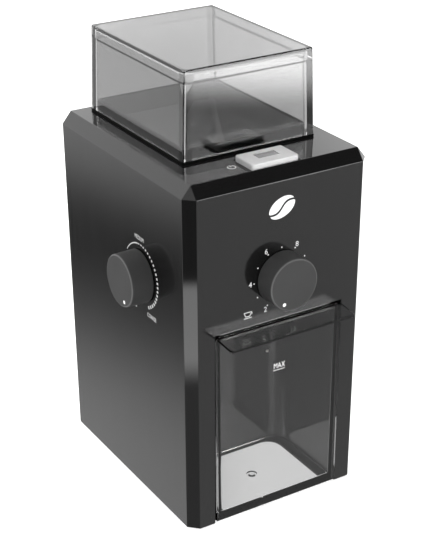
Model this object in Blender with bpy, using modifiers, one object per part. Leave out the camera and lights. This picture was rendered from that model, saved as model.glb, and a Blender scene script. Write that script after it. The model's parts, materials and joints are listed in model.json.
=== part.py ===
"""Burr coffee grinder: a tall housing with a bean hopper and clear lid on top, a clear ground-coffee
container in a bay at the front, and a geared motor that turns the lower burr.

Metres, +Z up. The front faces -Y and the coarseness knob is on the -X side. Sizes below are written in
millimetres through mm(). Every piece hangs on one empty, whose origin is the middle of the housing's
footprint, moved so that the world origin is the middle of the whole object's base.
"""

import math

import bmesh
import bpy
from mathutils import Matrix, Vector


def mm(*values):
    """Millimetres as metres: one number, or a vector of three."""
    scaled = [value * 0.001 for value in values]
    return scaled[0] if len(scaled) == 1 else Vector(scaled)


# Fits
GAP = mm(0.3)
RUNNING = mm(0.1)

# Housing
HOUSING_WIDTH = mm(116)
HOUSING_DEPTH = mm(142)
HOUSING_TOP = mm(209)
HOUSING_BOTTOM = mm(0.9)
HOUSING_WALL = mm(2.2)
HOUSING_DRAFT = mm(1)
CHAMFER = mm(5.6)
CHAMFER_DROP = mm(6.8)
HALF_WIDTH = HOUSING_WIDTH / 2
HALF_DEPTH = HOUSING_DEPTH / 2

# Base, and how far a cutter runs past the face it opens
PLATE_TOP = mm(4)
RAIL_TOP = mm(2.3)
RAIL_INSIDE = mm(33.5)
SCREW_ENDS = {"front": (mm(50.2), mm(-63.2)), "rear": (mm(51.4), mm(64.4))}
FOOT_PLACE = (mm(48.9), mm(52))
GLAND_PLACE = mm(35, 0, 18)
GLAND_STANDS_OUT = mm(2.4)
OVER = mm(4)

# Container and its bay
BAY_HALF_WIDTH = mm(41.4)
BAY_TOP = mm(121.8)
BAY_BACK = mm(-12)
BAY_WALL = mm(1.8)
BAY_CORNER = mm(13)
CONTAINER_HALF_WIDTH = mm(39.8)
CONTAINER_FRONT, CONTAINER_BACK = mm(-70), mm(-13)
CONTAINER_CORNER = mm(11)
CONTAINER_BOTTOM = mm(2.6)
CONTAINER_TOP = mm(118.5)
CONTAINER_WALL = mm(1.8)
CONTAINER_FLOOR = mm(4.4)
FRONT_PLATE_HALF_WIDTH = mm(40.9)
LIP_HALF_WIDTH = mm(40.4)
LIP_STANDS_OUT = mm(14.4)
LIP_DIP = mm(1.2)
COVER_TOP = mm(120.6)

# Lid and hopper
LID_HALF_WIDTH = mm(41.8)
LID_FRONT = mm(-39.6)
LID_BACK = mm(65.3)
LID_TOP = mm(259.8)
LID_TAPER = mm(1.6)
LID_WALL = mm(2)
TUB_HALF_WIDTH = mm(38.5)
TUB_FRONT = mm(-36.3)
TUB_BACK = mm(62)
FLANGE_THICKNESS = mm(1)
RIM_HEIGHT = mm(5.7)

# Controls
BUTTON_CENTRE = mm(0, -55.9, 212)
BUTTON_HALF = (mm(14.7), mm(8.7))
BUTTON_TRAVEL = mm(2)
STEM_RADIUS, STEM_FOOT = mm(3), mm(186)
SWITCH_FOOT, SWITCH_TOP = mm(173.9), mm(194.2)
KNOB_RADIUS = mm(15)
QUANTITY_HEIGHT = mm(147)
QUANTITY_FACE = mm(-84)
COARSENESS_PLACE = (mm(-19.5), mm(141.3))
COARSENESS_FACE = mm(-71.4)
PANEL_CLEARANCE = mm(0.5)
KNOB_BORE_DEPTH = mm(9)
QUANTITY_SHAFT_RADIUS, COARSENESS_SHAFT_RADIUS = mm(3), mm(2.5)

# Drive
MODULE = mm(1)
PINION_TEETH = 12
INTERMEDIATE_TEETH = 36
DRIVE_TEETH = 48
RING_TEETH = 68
CENTRE_PLAY = mm(0.15)
BURR_Y = COARSENESS_PLACE[0]
INTERMEDIATE_Y = BURR_Y + MODULE * (PINION_TEETH + DRIVE_TEETH) / 2 + CENTRE_PLAY
MOTOR_Y = INTERMEDIATE_Y + MODULE * (PINION_TEETH + INTERMEDIATE_TEETH) / 2 + CENTRE_PLAY
FIRST_STAGE = mm(98)
SECOND_STAGE = mm(128)
GEAR_FACE = mm(6)
FRAME_BOTTOM, FRAME_TOP = mm(93.3), mm(96)
DECK_BOTTOM, DECK_TOP = mm(124), mm(126.5)
LEG_RADIUS = mm(3.6)
LEG_PLACES = ((mm(-45), mm(-1)), (mm(45), mm(-1)), (mm(-45), mm(43)), (mm(45), mm(43)))
MOTOR_RADIUS = mm(26)
MOTOR_SHAFT_RADIUS = mm(2.4)
INTERMEDIATE_SHAFT_RADIUS = mm(3)
DRIVE_SHAFT_RADIUS = mm(4)

# Grinding
CHAMBER_RADIUS = mm(28)
CHAMBER_INSIDE = mm(25.5)
CHAMBER_FLOOR = mm(135.5)
CHAMBER_TOP = mm(150)
BURR_RADIUS = mm(24)
LOWER_BURR_BOTTOM, LOWER_BURR_TOP = mm(141.3), mm(144.6)
UPPER_BURR_BOTTOM, UPPER_BURR_TOP = mm(146.1), mm(149.2)
CHUTE_HALF_WIDTH = mm(9)
CHUTE_FRONT, CHUTE_BACK = mm(-58.6), mm(-46.9)
CHUTE_WALL = mm(1.5)
RING_INSIDE = mm(28.4)
RING_OUTSIDE = mm(38.5)

# Safety switches
LID_PIN = (mm(40.7), mm(13))
CONTAINER_PIN = (mm(30), mm(66))
PIN_RADIUS = mm(1)
PIN_HOLE_RADIUS = PIN_RADIUS + GAP

# The world origin is the middle of the base of the box around everything.
ORIGIN = Vector((
    (-COARSENESS_FACE - HALF_WIDTH) / 2,
    (LIP_STANDS_OUT - GLAND_STANDS_OUT) / 2,
    0,
))

ROUND = 28
FINE_ROUND = 40
SMALL_ROUND = 16
SCREW_SIDES = 12
CORNER_STEPS = 5

scene = bpy.context.scene
for old in list(bpy.data.objects):
    bpy.data.objects.remove(old)
parts = bpy.data.collections.new("burr_coffee_grinder")
cutters = bpy.data.collections.new("cutters")
scene.collection.children.link(parts)
scene.collection.children.link(cutters)
assembly = bpy.data.objects.new("grinder_centre", None)
assembly.location = ORIGIN
parts.objects.link(assembly)


# ---------------------------------------------------------------- materials

def finish(name, colour, roughness, metallic=0.0, alpha=1.0):
    material = bpy.data.materials.new(name)
    material.use_nodes = True
    shader = material.node_tree.nodes["Principled BSDF"]
    shader.inputs["Base Color"].default_value = (*colour, 1)
    shader.inputs["Roughness"].default_value = roughness
    shader.inputs["Metallic"].default_value = metallic
    shader.inputs["Alpha"].default_value = alpha
    material.diffuse_color = (*colour, alpha)
    return material


BLACK_GLOSS = finish("black_gloss", (0.018, 0.018, 0.020), 0.16)
BLACK_SATIN = finish("black_satin", (0.025, 0.025, 0.027), 0.40)
KNOB_GREY = finish("knob_grey", (0.085, 0.085, 0.088), 0.50)
SMOKE = finish("smoke_clear", (0.42, 0.42, 0.43), 0.04, alpha=0.35)
SILVER = finish("silver", (0.72, 0.72, 0.74), 0.25, 0.6)
DARK_WINDOW = finish("dark_window", (0.10, 0.10, 0.11), 0.15)
RUBBER = finish("black_rubber", (0.03, 0.03, 0.03), 0.80)
STEEL = finish("steel", (0.56, 0.57, 0.58), 0.30, 1.0)
BURR_STEEL = finish("burr_steel", (0.45, 0.46, 0.47), 0.35, 1.0)
LAMINATION = finish("lamination", (0.30, 0.31, 0.33), 0.45, 0.9)
BRASS = finish("brass", (0.72, 0.52, 0.22), 0.30, 1.0)
NYLON = finish("nylon", (0.82, 0.80, 0.74), 0.45)
CARBON = finish("carbon", (0.06, 0.06, 0.06), 0.60)
BOARD = finish("board", (0.05, 0.22, 0.12), 0.45)
SWITCH_BLACK = finish("switch_black", (0.05, 0.05, 0.055), 0.45)


# ---------------------------------------------------------------- tools

def place(obj, material, origin):
    """Puts a piece on the assembly with its origin at that point of the assembly."""
    parts.objects.link(obj)
    obj.parent = assembly
    obj.location = Vector(origin)
    obj.data.materials.append(material)
    return obj


def from_bmesh(name, bm, material, origin=(0, 0, 0)):
    """A mesh drawn in the assembly's frame becomes an object whose own origin is at the point given."""
    bmesh.ops.recalc_face_normals(bm, faces=bm.faces)
    bmesh.ops.translate(bm, vec=-Vector(origin), verts=bm.verts)
    mesh = bpy.data.meshes.new(name)
    bm.to_mesh(mesh)
    bm.free()
    return place(bpy.data.objects.new(name, mesh), material, origin)


def box_mesh(low, high):
    bm = bmesh.new()
    bmesh.ops.create_cube(bm, size=1)
    low, high = Vector(low), Vector(high)
    bmesh.ops.scale(bm, vec=high - low, verts=bm.verts)
    bmesh.ops.translate(bm, vec=(low + high) / 2, verts=bm.verts)
    return bm


def bevel_edges(bm, chosen, width, segments=1):
    edges = [edge for edge in bm.edges if chosen(edge.verts[0].co, edge.verts[1].co)]
    bmesh.ops.bevel(bm, geom=edges, offset=width, segments=segments, profile=0.5, affect="EDGES")


def upright_at(side):
    """Picks the upright edges whose x and y satisfy side(x, y)."""
    def chosen(a, b):
        upright = (a.xy - b.xy).length < 1e-6
        return upright and side(a.x, a.y)
    return chosen


REAR_UPRIGHTS = upright_at(lambda x, y: y > mm(-20))


def block(name, low, high, material, origin=(0, 0, 0), upright_bevel=0, segments=3):
    bm = box_mesh(low, high)
    if upright_bevel:
        bevel_edges(bm, upright_at(lambda x, y: True), upright_bevel, segments)
    return from_bmesh(name, bm, material, origin)


def turn_towards(obj, axis):
    """Turns a piece made about its own Z so that its Z points along axis."""
    obj.rotation_euler = Vector((0, 0, 1)).rotation_difference(Vector(axis)).to_euler()
    return obj


def smooth(obj):
    obj.data.shade_smooth()
    obj.data.set_sharp_from_angle(angle=math.radians(40))
    return obj


def rod(name, radius, start, length, material, axis=(0, 0, 1), sides=ROUND):
    bm = bmesh.new()
    bmesh.ops.create_cone(bm, cap_ends=True, segments=sides, radius1=radius, radius2=radius,
                          depth=length)
    bmesh.ops.translate(bm, vec=(0, 0, length / 2), verts=bm.verts)
    obj = from_bmesh(name, bm, material)
    obj.location = Vector(start)
    return turn_towards(smooth(obj), axis)


def turned(name, profile, material, start=(0, 0, 0), axis=(0, 0, 1), steps=ROUND):
    """A solid of revolution from (radius, height) points, top to bottom down its outer side.
    A profile that starts and ends on the axis is solid, and any other is closed into a ring."""
    mesh = bpy.data.meshes.new(name)
    count = len(profile)
    is_ring = profile[0][0] > 0
    edges = [(i, (i + 1) % count) for i in range(count if is_ring else count - 1)]
    mesh.from_pydata([(radius, 0, height) for radius, height in profile], edges, [])
    obj = place(bpy.data.objects.new(name, mesh), material, start)
    screw = obj.modifiers.new("turn", "SCREW")
    screw.axis = "Z"
    screw.steps = screw.render_steps = steps
    screw.use_merge_vertices = True
    screw.merge_threshold = 0.00001
    return turn_towards(obj, axis)


def ring_profile(inside, outside, bottom, top):
    """A plain ring's section for turned()."""
    return [(outside, top), (outside, bottom), (inside, bottom), (inside, top)]


def ring(name, inside, outside, bottom, top, material, centre=(0, 0), steps=ROUND):
    profile = ring_profile(inside, outside, 0, top - bottom)
    return turned(name, profile, material, (*centre, bottom), steps=steps)


def cut(target, cutter, operation="DIFFERENCE"):
    """Cuts the cutter out of the target, or joins it on, and puts the cutter away."""
    parts.objects.unlink(cutter)
    cutters.objects.link(cutter)
    cutter.hide_render = True
    cutter.display_type = "WIRE"
    boolean = target.modifiers.new(operation.lower(), "BOOLEAN")
    boolean.object = cutter
    boolean.operation = operation
    boolean.solver = "EXACT"
    return target


def cut_block(target, low, high, label="pocket", upright_bevel=0):
    cutter = block(f"{target.name}_{label}_cutter", low, high, BLACK_SATIN, upright_bevel=upright_bevel)
    return cut(target, cutter)


def cut_hole(target, radius, start, length, axis=(0, 0, 1), sides=SMALL_ROUND):
    return cut(target,
               rod(f"{target.name}_hole_cutter", radius, start, length, BLACK_SATIN, axis, sides))


def join(target, piece):
    return cut(target, piece, "UNION")


def polar(radius, angle):
    return (radius * math.cos(angle), radius * math.sin(angle))


def toothed_outline(count, root, tip, root_share, tip_share, turned_by=0.0):
    """Points round a wheel of teeth. A share is how much of its pitch a tooth fills at that radius."""
    pitch = 2 * math.pi / count
    points = []
    for tooth in range(count):
        middle = tooth * pitch + turned_by
        for radius, half in (
            (root, -root_share), (tip, -tip_share), (tip, tip_share), (root, root_share)
        ):
            points.append(polar(radius, middle + half * pitch / 2))
    return points


def circle_outline(radius, sides=SMALL_ROUND):
    return [polar(radius, 2 * math.pi * i / sides) for i in range(sides)]


def plate(name, loops, thickness, material, start, axis=(0, 0, 1)):
    """A flat outline, with any holes as further loops, made this thick upward from start."""
    curve = bpy.data.curves.new(name, "CURVE")
    curve.dimensions = "2D"
    curve.fill_mode = "BOTH"
    curve.extrude = thickness / 2
    for points in loops:
        spline = curve.splines.new("POLY")
        spline.points.add(len(points) - 1)
        for point, (x, y) in zip(spline.points, points):
            point.co = (x, y, 0, 1)
        spline.use_cyclic_u = True
    obj = place(bpy.data.objects.new(name, curve), material, (0, 0, 0))
    turn_towards(obj, axis)
    obj.location = Vector(start) + Vector(axis) * (thickness / 2)
    return obj


def as_mesh(obj):
    """The same piece as a mesh, with its loose caps welded, so that a Boolean can work on it."""
    bpy.context.view_layer.update()
    graph = bpy.context.evaluated_depsgraph_get()
    mesh = bpy.data.meshes.new_from_object(obj.evaluated_get(graph))
    bm = bmesh.new()
    bm.from_mesh(mesh)
    bmesh.ops.remove_doubles(bm, verts=bm.verts, dist=0.000005)
    bmesh.ops.recalc_face_normals(bm, faces=bm.faces)
    bm.to_mesh(mesh)
    bm.free()
    name, matrix, basis = obj.name, obj.matrix_world.copy(), obj.parent
    bpy.data.objects.remove(obj)
    made = bpy.data.objects.new(name, mesh)
    mesh.name = name
    parts.objects.link(made)
    made.parent = basis
    made.matrix_world = matrix
    return made


def gear(name, teeth, start, bore, material, axis=(0, 0, 1), face=GEAR_FACE, turned_by=0.0):
    """A spur wheel with straight-sided teeth, a little thinner than its spaces."""
    pitch_radius = MODULE * teeth / 2
    outline = toothed_outline(
        teeth, pitch_radius - 1.15 * MODULE, pitch_radius + 0.75 * MODULE, 0.62, 0.26, turned_by
    )
    return plate(name, [outline, circle_outline(bore)], face, material, start, axis)


# ---------------------------------------------------------------- housing and base

def chamfered_solid(inset, bottom):
    """The housing's outer form, or its inside when inset by the wall. The top edges on the left, right
    and front, and the two front uprights, carry one flat chamfer that drops further than it runs."""
    drop_ratio = CHAMFER_DROP / CHAMFER
    top = HOUSING_TOP - inset
    width, depth = HALF_WIDTH - inset, HALF_DEPTH - inset
    chamfer = CHAMFER - inset * 0.4
    bm = box_mesh((-width, -depth, bottom / drop_ratio), (width, depth, top / drop_ratio))

    def chamfers(a, b):
        across_top = min(a.z, b.z) > top / drop_ratio - mm(1)
        at_back = min(a.y, b.y) > depth - mm(1)
        front_upright = max(a.y, b.y) < mm(1) - depth and abs(a.x - b.x) < mm(1)
        return (across_top and not at_back) or front_upright

    bevel_edges(bm, chamfers, chamfer)
    for vert in bm.verts:
        vert.co.z *= drop_ratio
        drawn_in = HOUSING_DRAFT * (HOUSING_TOP - vert.co.z) / HOUSING_TOP
        vert.co.x *= 1 - drawn_in / HALF_WIDTH
        vert.co.y *= 1 - drawn_in / HALF_DEPTH
    return bm


def screw_places():
    """Each base screw's corner, such as front_left, and its place."""
    return [
        (f"{end}_{side}", (sign * x, y))
        for end, (x, y) in SCREW_ENDS.items()
        for sign, side in ((-1, "left"), (1, "right"))
    ]


def make_housing():
    housing = from_bmesh("housing", chamfered_solid(0, HOUSING_BOTTOM), BLACK_GLOSS)
    hollow = from_bmesh("housing_hollow_cutter", chamfered_solid(HOUSING_WALL, -OVER), BLACK_GLOSS)
    cut(housing, hollow)

    post_radius, post_top, pilot_radius, pilot_depth = mm(4.2), mm(24), mm(1.3), mm(13)
    for name, (x, y) in screw_places():
        centre = Vector((x, y, PLATE_TOP + GAP))
        join(housing, rod(f"housing_post_{name}", post_radius, centre, post_top - centre.z, BLACK_GLOSS,
                          sides=SMALL_ROUND))
        cut_hole(housing, pilot_radius, centre - mm(0, 0, 1), pilot_depth, sides=SCREW_SIDES)

    cut_block(housing, (-BAY_HALF_WIDTH, -HALF_DEPTH - OVER, -OVER),
              (BAY_HALF_WIDTH, -HALF_DEPTH + OVER, BAY_TOP), "bay")
    tub_play = mm(0.5)
    cut_block(housing, (-TUB_HALF_WIDTH - tub_play, TUB_FRONT - tub_play, HOUSING_TOP - OVER),
              (TUB_HALF_WIDTH + tub_play, TUB_BACK + tub_play, HOUSING_TOP + OVER), "hopper")
    notch = mm(1.8)
    cut_block(housing, (TUB_HALF_WIDTH - notch, LID_PIN[1] - notch, HOUSING_TOP - OVER),
              (LID_PIN[0] + notch, LID_PIN[1] + notch, HOUSING_TOP + OVER), "pin_notch")
    button_play = mm(0.4)
    opening_x, opening_y = (half + button_play for half in BUTTON_HALF)
    cut_block(housing, (-opening_x, BUTTON_CENTRE.y - opening_y, HOUSING_TOP - OVER),
              (opening_x, BUTTON_CENTRE.y + opening_y, HOUSING_TOP + OVER), "button")
    shaft_play, gland_hole = mm(0.6), mm(5)
    cut_hole(housing, QUANTITY_SHAFT_RADIUS + shaft_play, (0, -HALF_DEPTH - OVER, QUANTITY_HEIGHT),
             2 * OVER, (0, 1, 0))
    cut_hole(housing, COARSENESS_SHAFT_RADIUS + shaft_play, (-HALF_WIDTH - OVER, *COARSENESS_PLACE),
             2 * OVER, (1, 0, 0))
    cut_hole(housing, gland_hole, GLAND_PLACE + Vector((0, HALF_DEPTH - OVER, 0)), 2 * OVER, (0, 1, 0))


def make_base_plate():
    """A U-shaped plate. Its thin front rails carry the container, and the table shows between them."""
    inset = HOUSING_DRAFT + HOUSING_WALL + mm(0.4)
    edge, front_edge = HALF_WIDTH - inset, HALF_DEPTH - inset
    outline = box_mesh((-edge, -front_edge, HOUSING_BOTTOM), (edge, front_edge, PLATE_TOP))
    bevel_edges(outline, upright_at(lambda x, y: y < 0), CHAMFER)
    base = from_bmesh("base_plate", outline, BLACK_SATIN)

    liner_play = mm(0.4)
    liner_side = BAY_HALF_WIDTH + BAY_WALL + liner_play
    liner_back = BAY_BACK + BAY_WALL + liner_play + GAP
    cut_block(base, (-liner_side, -front_edge - OVER, RAIL_TOP),
              (liner_side, liner_back, PLATE_TOP + OVER), "rails")
    window_back, window_corner = mm(-14.5), mm(9)
    window = box_mesh((-RAIL_INSIDE, -front_edge - OVER, -OVER),
                      (RAIL_INSIDE, window_back, PLATE_TOP + OVER))
    bevel_edges(window, REAR_UPRIGHTS, window_corner, 4)
    cut(base, from_bmesh("base_plate_window_cutter", window, BLACK_SATIN))

    through = 3 * OVER
    foot_recess, recess_top, foot_hole, screw_hole = mm(4.9), mm(2.5), mm(2.8), mm(1.4)
    for x in (-1, 1):
        for y in (-1, 1):
            foot = Vector((x * FOOT_PLACE[0], y * FOOT_PLACE[1], -OVER))
            cut_hole(base, foot_recess, foot, OVER + recess_top)
            cut_hole(base, foot_hole, foot, through)
    for _, (x, y) in screw_places():
        cut_hole(base, screw_hole, (x, y, -OVER), through, sides=SCREW_SIDES)
    slots, slot_pitch, slot_half_width, slot_half_length = 6, mm(9), mm(1.5), mm(16)
    for slot in range(slots):
        middle = (slot - (slots - 1) / 2) * slot_pitch
        cut_block(base, (middle - slot_half_width, MOTOR_Y - slot_half_length, -OVER),
                  (middle + slot_half_width, MOTOR_Y + slot_half_length, PLATE_TOP + OVER), "vent")


def make_feet():
    profile = [
        (0, mm(6)), (mm(2.6), mm(6)), (mm(3.3), mm(4.5)), (mm(2.5), mm(4.3)), (mm(2.5), mm(2.2)),
        (mm(4.6), mm(2.2)), (mm(4.6), mm(0.4)), (mm(4.2), 0), (0, 0),
    ]
    for x, side in ((-1, "left"), (1, "right")):
        for y, end in ((-1, "front"), (1, "rear")):
            turned(f"foot_{end}_{side}", profile, RUBBER, (x * FOOT_PLACE[0], y * FOOT_PLACE[1], 0),
                   steps=SMALL_ROUND)


def make_base_screws():
    """Pan-head screws under the plate, with a socket in the head."""
    profile = [
        (0, mm(15)), (mm(0.4), mm(15)), (mm(1.05), mm(13.8)), (mm(1.05), mm(0.6)), (mm(2.4), mm(0.6)),
        (mm(2.2), mm(0.25)), (mm(0.7), mm(0.15)), (mm(0.6), mm(0.5)), (0, mm(0.5)),
    ]
    for name, (x, y) in screw_places():
        turned(f"base_screw_{name}", profile, STEEL, (x, y, 0), steps=SCREW_SIDES)


def make_cord_gland():
    outside = HALF_DEPTH + GLAND_STANDS_OUT
    profile = [
        (mm(6), 0), (mm(7.5), mm(-0.8)), (mm(7.5), mm(-2.6)), (mm(4.6), mm(-2.8)), (mm(4.6), mm(-9)),
        (mm(3.4), mm(-9)), (mm(3.4), 0),
    ]
    turned("cord_gland", profile, RUBBER, (GLAND_PLACE.x, outside, GLAND_PLACE.z), (0, 1, 0),
           SMALL_ROUND)


# ---------------------------------------------------------------- container bay and container

def make_container_bay():
    front = mm(-67.3)
    back = BAY_BACK + BAY_WALL
    bottom = RAIL_TOP + GAP
    outside = box_mesh((-BAY_HALF_WIDTH - BAY_WALL, front, bottom),
                       (BAY_HALF_WIDTH + BAY_WALL, back, BAY_TOP + BAY_WALL))
    bevel_edges(outside, REAR_UPRIGHTS, BAY_CORNER + BAY_WALL, CORNER_STEPS)
    bay = from_bmesh("container_bay", outside, BLACK_SATIN)
    inside = box_mesh((-BAY_HALF_WIDTH, front - OVER, -OVER), (BAY_HALF_WIDTH, BAY_BACK, BAY_TOP))
    bevel_edges(inside, REAR_UPRIGHTS, BAY_CORNER, CORNER_STEPS)
    cut(bay, from_bmesh("container_bay_inside_cutter", inside, BLACK_SATIN))
    cut_block(bay, (-CHUTE_HALF_WIDTH - GAP, CHUTE_FRONT - GAP, BAY_TOP - OVER),
              (CHUTE_HALF_WIDTH + GAP, CHUTE_BACK + GAP, BAY_TOP + OVER), "chute")
    cut_hole(bay, PIN_HOLE_RADIUS, (CONTAINER_PIN[0], BAY_BACK - OVER, CONTAINER_PIN[1]), 2 * OVER,
             (0, 1, 0))


def container_body(inset, bottom, top):
    """The container's rounded box, a little narrower at its foot."""
    narrowing = mm(0.6)
    half, front, back = CONTAINER_HALF_WIDTH - inset, CONTAINER_FRONT + inset, CONTAINER_BACK - inset
    bm = box_mesh((-half, front, bottom), (half, back, top))
    bevel_edges(bm, REAR_UPRIGHTS, CONTAINER_CORNER - inset, CORNER_STEPS)
    for vert in bm.verts:
        share = 1 - vert.co.z / CONTAINER_TOP
        vert.co.x *= 1 - narrowing * share / half
        if vert.co.y > (front + back) / 2:
            vert.co.y -= narrowing * share
    return bm


def make_container():
    container = from_bmesh("ground_coffee_container",
                           container_body(0, CONTAINER_BOTTOM, CONTAINER_TOP), SMOKE)
    face = block("container_front", (-FRONT_PLATE_HALF_WIDTH, -HALF_DEPTH, CONTAINER_BOTTOM),
                 (FRONT_PLATE_HALF_WIDTH, CONTAINER_FRONT + mm(1), CONTAINER_TOP), SMOKE)
    join(container, face)
    hollow = container_body(CONTAINER_WALL, CONTAINER_BOTTOM + CONTAINER_FLOOR, CONTAINER_TOP + OVER)
    cut(container, from_bmesh("container_hollow_cutter", hollow, SMOKE))


def make_container_cover():
    """The clear cover, with a skirt inside the container and a lip that stands out as a handle and dips."""
    bottom = CONTAINER_TOP + GAP
    slab = box_mesh((-FRONT_PLATE_HALF_WIDTH, -HALF_DEPTH, bottom),
                    (FRONT_PLATE_HALF_WIDTH, CONTAINER_BACK, COVER_TOP))
    bevel_edges(slab, REAR_UPRIGHTS, CONTAINER_CORNER, CORNER_STEPS)
    cover = from_bmesh("container_cover", slab, SMOKE)

    overlap, step, lip_corner = mm(2), mm(0.1), mm(1.5)
    lip_root, lip_tip = -HALF_DEPTH + overlap, -HALF_DEPTH - LIP_STANDS_OUT
    lip = box_mesh((-LIP_HALF_WIDTH, lip_tip, bottom + step),
                   (LIP_HALF_WIDTH, lip_root, COVER_TOP - step))
    bevel_edges(lip, upright_at(lambda x, y: y < -HALF_DEPTH), lip_corner, 2)
    for vert in lip.verts:
        vert.co.z -= LIP_DIP * (lip_root - vert.co.y) / LIP_STANDS_OUT
    join(cover, from_bmesh("container_lip", lip, SMOKE))

    skirt_wall, skirt_depth, skirt_inset = mm(1.6), mm(3), CONTAINER_WALL + mm(0.4)
    skirt = from_bmesh("cover_skirt",
                       container_body(skirt_inset, bottom - skirt_depth, bottom + mm(0.5)), SMOKE,
                       (0, 0, 0))
    hollow = container_body(skirt_inset + skirt_wall, bottom - skirt_depth - OVER, COVER_TOP + OVER)
    cut(skirt, from_bmesh("cover_hollow_cutter", hollow, SMOKE))
    join(cover, skirt)
    inlet_half, inlet_front, inlet_back, inlet_corner = mm(14), mm(-63), mm(-42), mm(3)
    cut_block(cover, (-inlet_half, inlet_front, bottom - OVER),
              (inlet_half, inlet_back, COVER_TOP + OVER), "inlet", upright_bevel=inlet_corner)


# ---------------------------------------------------------------- hopper and lid

def funnel(inset, top, neck_end):
    """The hopper's form: upright walls, a slope from them to the neck, and the neck down to its end."""
    shoulder, neck_top, neck_half, overlap = mm(204), mm(166), mm(13) - inset, mm(0.1)
    half, front, back = TUB_HALF_WIDTH - inset, TUB_FRONT + inset, TUB_BACK - inset
    middle = (front + back) / 2
    upper = box_mesh((-half, front, shoulder - overlap), (half, back, top))
    cone = box_mesh((-half, front, neck_top), (half, back, shoulder))
    for vert in cone.verts:
        if vert.co.z < neck_top + overlap:
            vert.co.x = math.copysign(neck_half, vert.co.x)
            vert.co.y = BURR_Y + math.copysign(neck_half, vert.co.y - middle)
    neck = box_mesh((-neck_half, BURR_Y - neck_half, neck_end),
                    (neck_half, BURR_Y + neck_half, neck_top + overlap))
    return upper, cone, neck


def make_bean_hopper():
    """A tray: a flange over the housing's top, a rim inside the lid, and a funnel down to the burrs."""
    flange_bottom = HOUSING_TOP + GAP
    flange_top = flange_bottom + FLANGE_THICKNESS
    past_lid = mm(1.2)
    tray = block("bean_hopper", (-LID_HALF_WIDTH - past_lid, LID_FRONT - past_lid, flange_bottom),
                 (LID_HALF_WIDTH + past_lid, LID_BACK + past_lid, flange_top), BLACK_SATIN)
    rim_out, wall, neck_bottom = mm(0.7), mm(1.7), mm(157.5)
    rim = block("hopper_rim", (-TUB_HALF_WIDTH - rim_out, TUB_FRONT - rim_out, flange_bottom + mm(0.2)),
                (TUB_HALF_WIDTH + rim_out, TUB_BACK + rim_out, flange_top + RIM_HEIGHT), BLACK_SATIN)
    join(tray, rim)
    for index, solid in enumerate(funnel(0, flange_top, neck_bottom)):
        join(tray, from_bmesh(f"hopper_solid_{index}", solid, BLACK_SATIN))
    for index, solid in enumerate(funnel(wall, flange_top + RIM_HEIGHT + OVER, neck_bottom - OVER)):
        cut(tray, from_bmesh(f"hopper_hollow_{index}", solid, BLACK_SATIN))
    cut_hole(tray, PIN_HOLE_RADIUS, (*LID_PIN, HOUSING_TOP - OVER), 2 * OVER)


def lid_solid(inset, bottom, top):
    """The lid's drafted box, widest at the foot. Its front and back draw in less than its sides."""
    end_taper = 0.4
    bm = box_mesh((-LID_HALF_WIDTH + inset, LID_FRONT + inset, bottom),
                  (LID_HALF_WIDTH - inset, LID_BACK - inset, top))
    for vert in bm.verts:
        share = (vert.co.z - HOUSING_TOP) / (LID_TOP - HOUSING_TOP)
        vert.co.x -= math.copysign(LID_TAPER, vert.co.x) * share
        vert.co.y -= math.copysign(LID_TAPER * end_taper, vert.co.y) * share
    return bm


def make_hopper_lid():
    """A deep clear cap. Its walls are thicker above a step near the top."""
    foot = HOUSING_TOP + GAP + FLANGE_THICKNESS + GAP
    step_height, step, top_wall = LID_TOP - mm(8.5), mm(0.7), mm(2.3)
    lid = from_bmesh("hopper_lid", lid_solid(0, foot, LID_TOP), SMOKE)
    lower = lid_solid(LID_WALL, foot - OVER, step_height)
    cut(lid, from_bmesh("lid_hollow_cutter", lower, SMOKE))
    upper = lid_solid(LID_WALL + step, step_height - mm(1), LID_TOP - top_wall)
    cut(lid, from_bmesh("lid_top_cutter", upper, SMOKE))


# ---------------------------------------------------------------- controls

def make_on_off_button():
    top, thickness = BUTTON_CENTRE.z, mm(7)
    half_x, half_y = BUTTON_HALF
    button = block("on_off_button", (-half_x, BUTTON_CENTRE.y - half_y, top - thickness),
                   (half_x, BUTTON_CENTRE.y + half_y, top), SILVER, BUTTON_CENTRE)
    stem_length = top - thickness + mm(1) - STEM_FOOT
    join(button, rod("button_stem", STEM_RADIUS, (0, BUTTON_CENTRE.y, STEM_FOOT), stem_length, SILVER,
                     sides=SMALL_ROUND))
    window_x, window_y, window_depth = mm(6.3), mm(2.8), mm(1.2)
    centre = BUTTON_CENTRE + mm(0, 0.7, 0)
    cut_block(button, (-window_x - GAP, centre.y - window_y - GAP, top - window_depth - GAP),
              (window_x + GAP, centre.y + window_y + GAP, top + OVER), "window")
    block("button_window", (-window_x, centre.y - window_y, top - window_depth),
          (window_x, centre.y + window_y, top), DARK_WINDOW, BUTTON_CENTRE)


def make_button_spring():
    """A coil round the button's stem, standing on the switch."""
    radius, wire, turns, bottom, top = mm(4.6), mm(0.4), 5, mm(194.9), mm(204.2)
    points_per_turn = 10
    curve = bpy.data.curves.new("button_spring", "CURVE")
    curve.dimensions = "3D"
    curve.bevel_depth = wire
    curve.bevel_resolution = 2
    curve.use_fill_caps = True
    spline = curve.splines.new("POLY")
    count = turns * points_per_turn
    spline.points.add(count)
    for index, point in enumerate(spline.points):
        x, y = polar(radius, 2 * math.pi * index / points_per_turn)
        point.co = (x, y, (top - bottom) * index / count, 1)
    place(bpy.data.objects.new("button_spring", curve), STEEL, (0, BUTTON_CENTRE.y, bottom))


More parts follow.
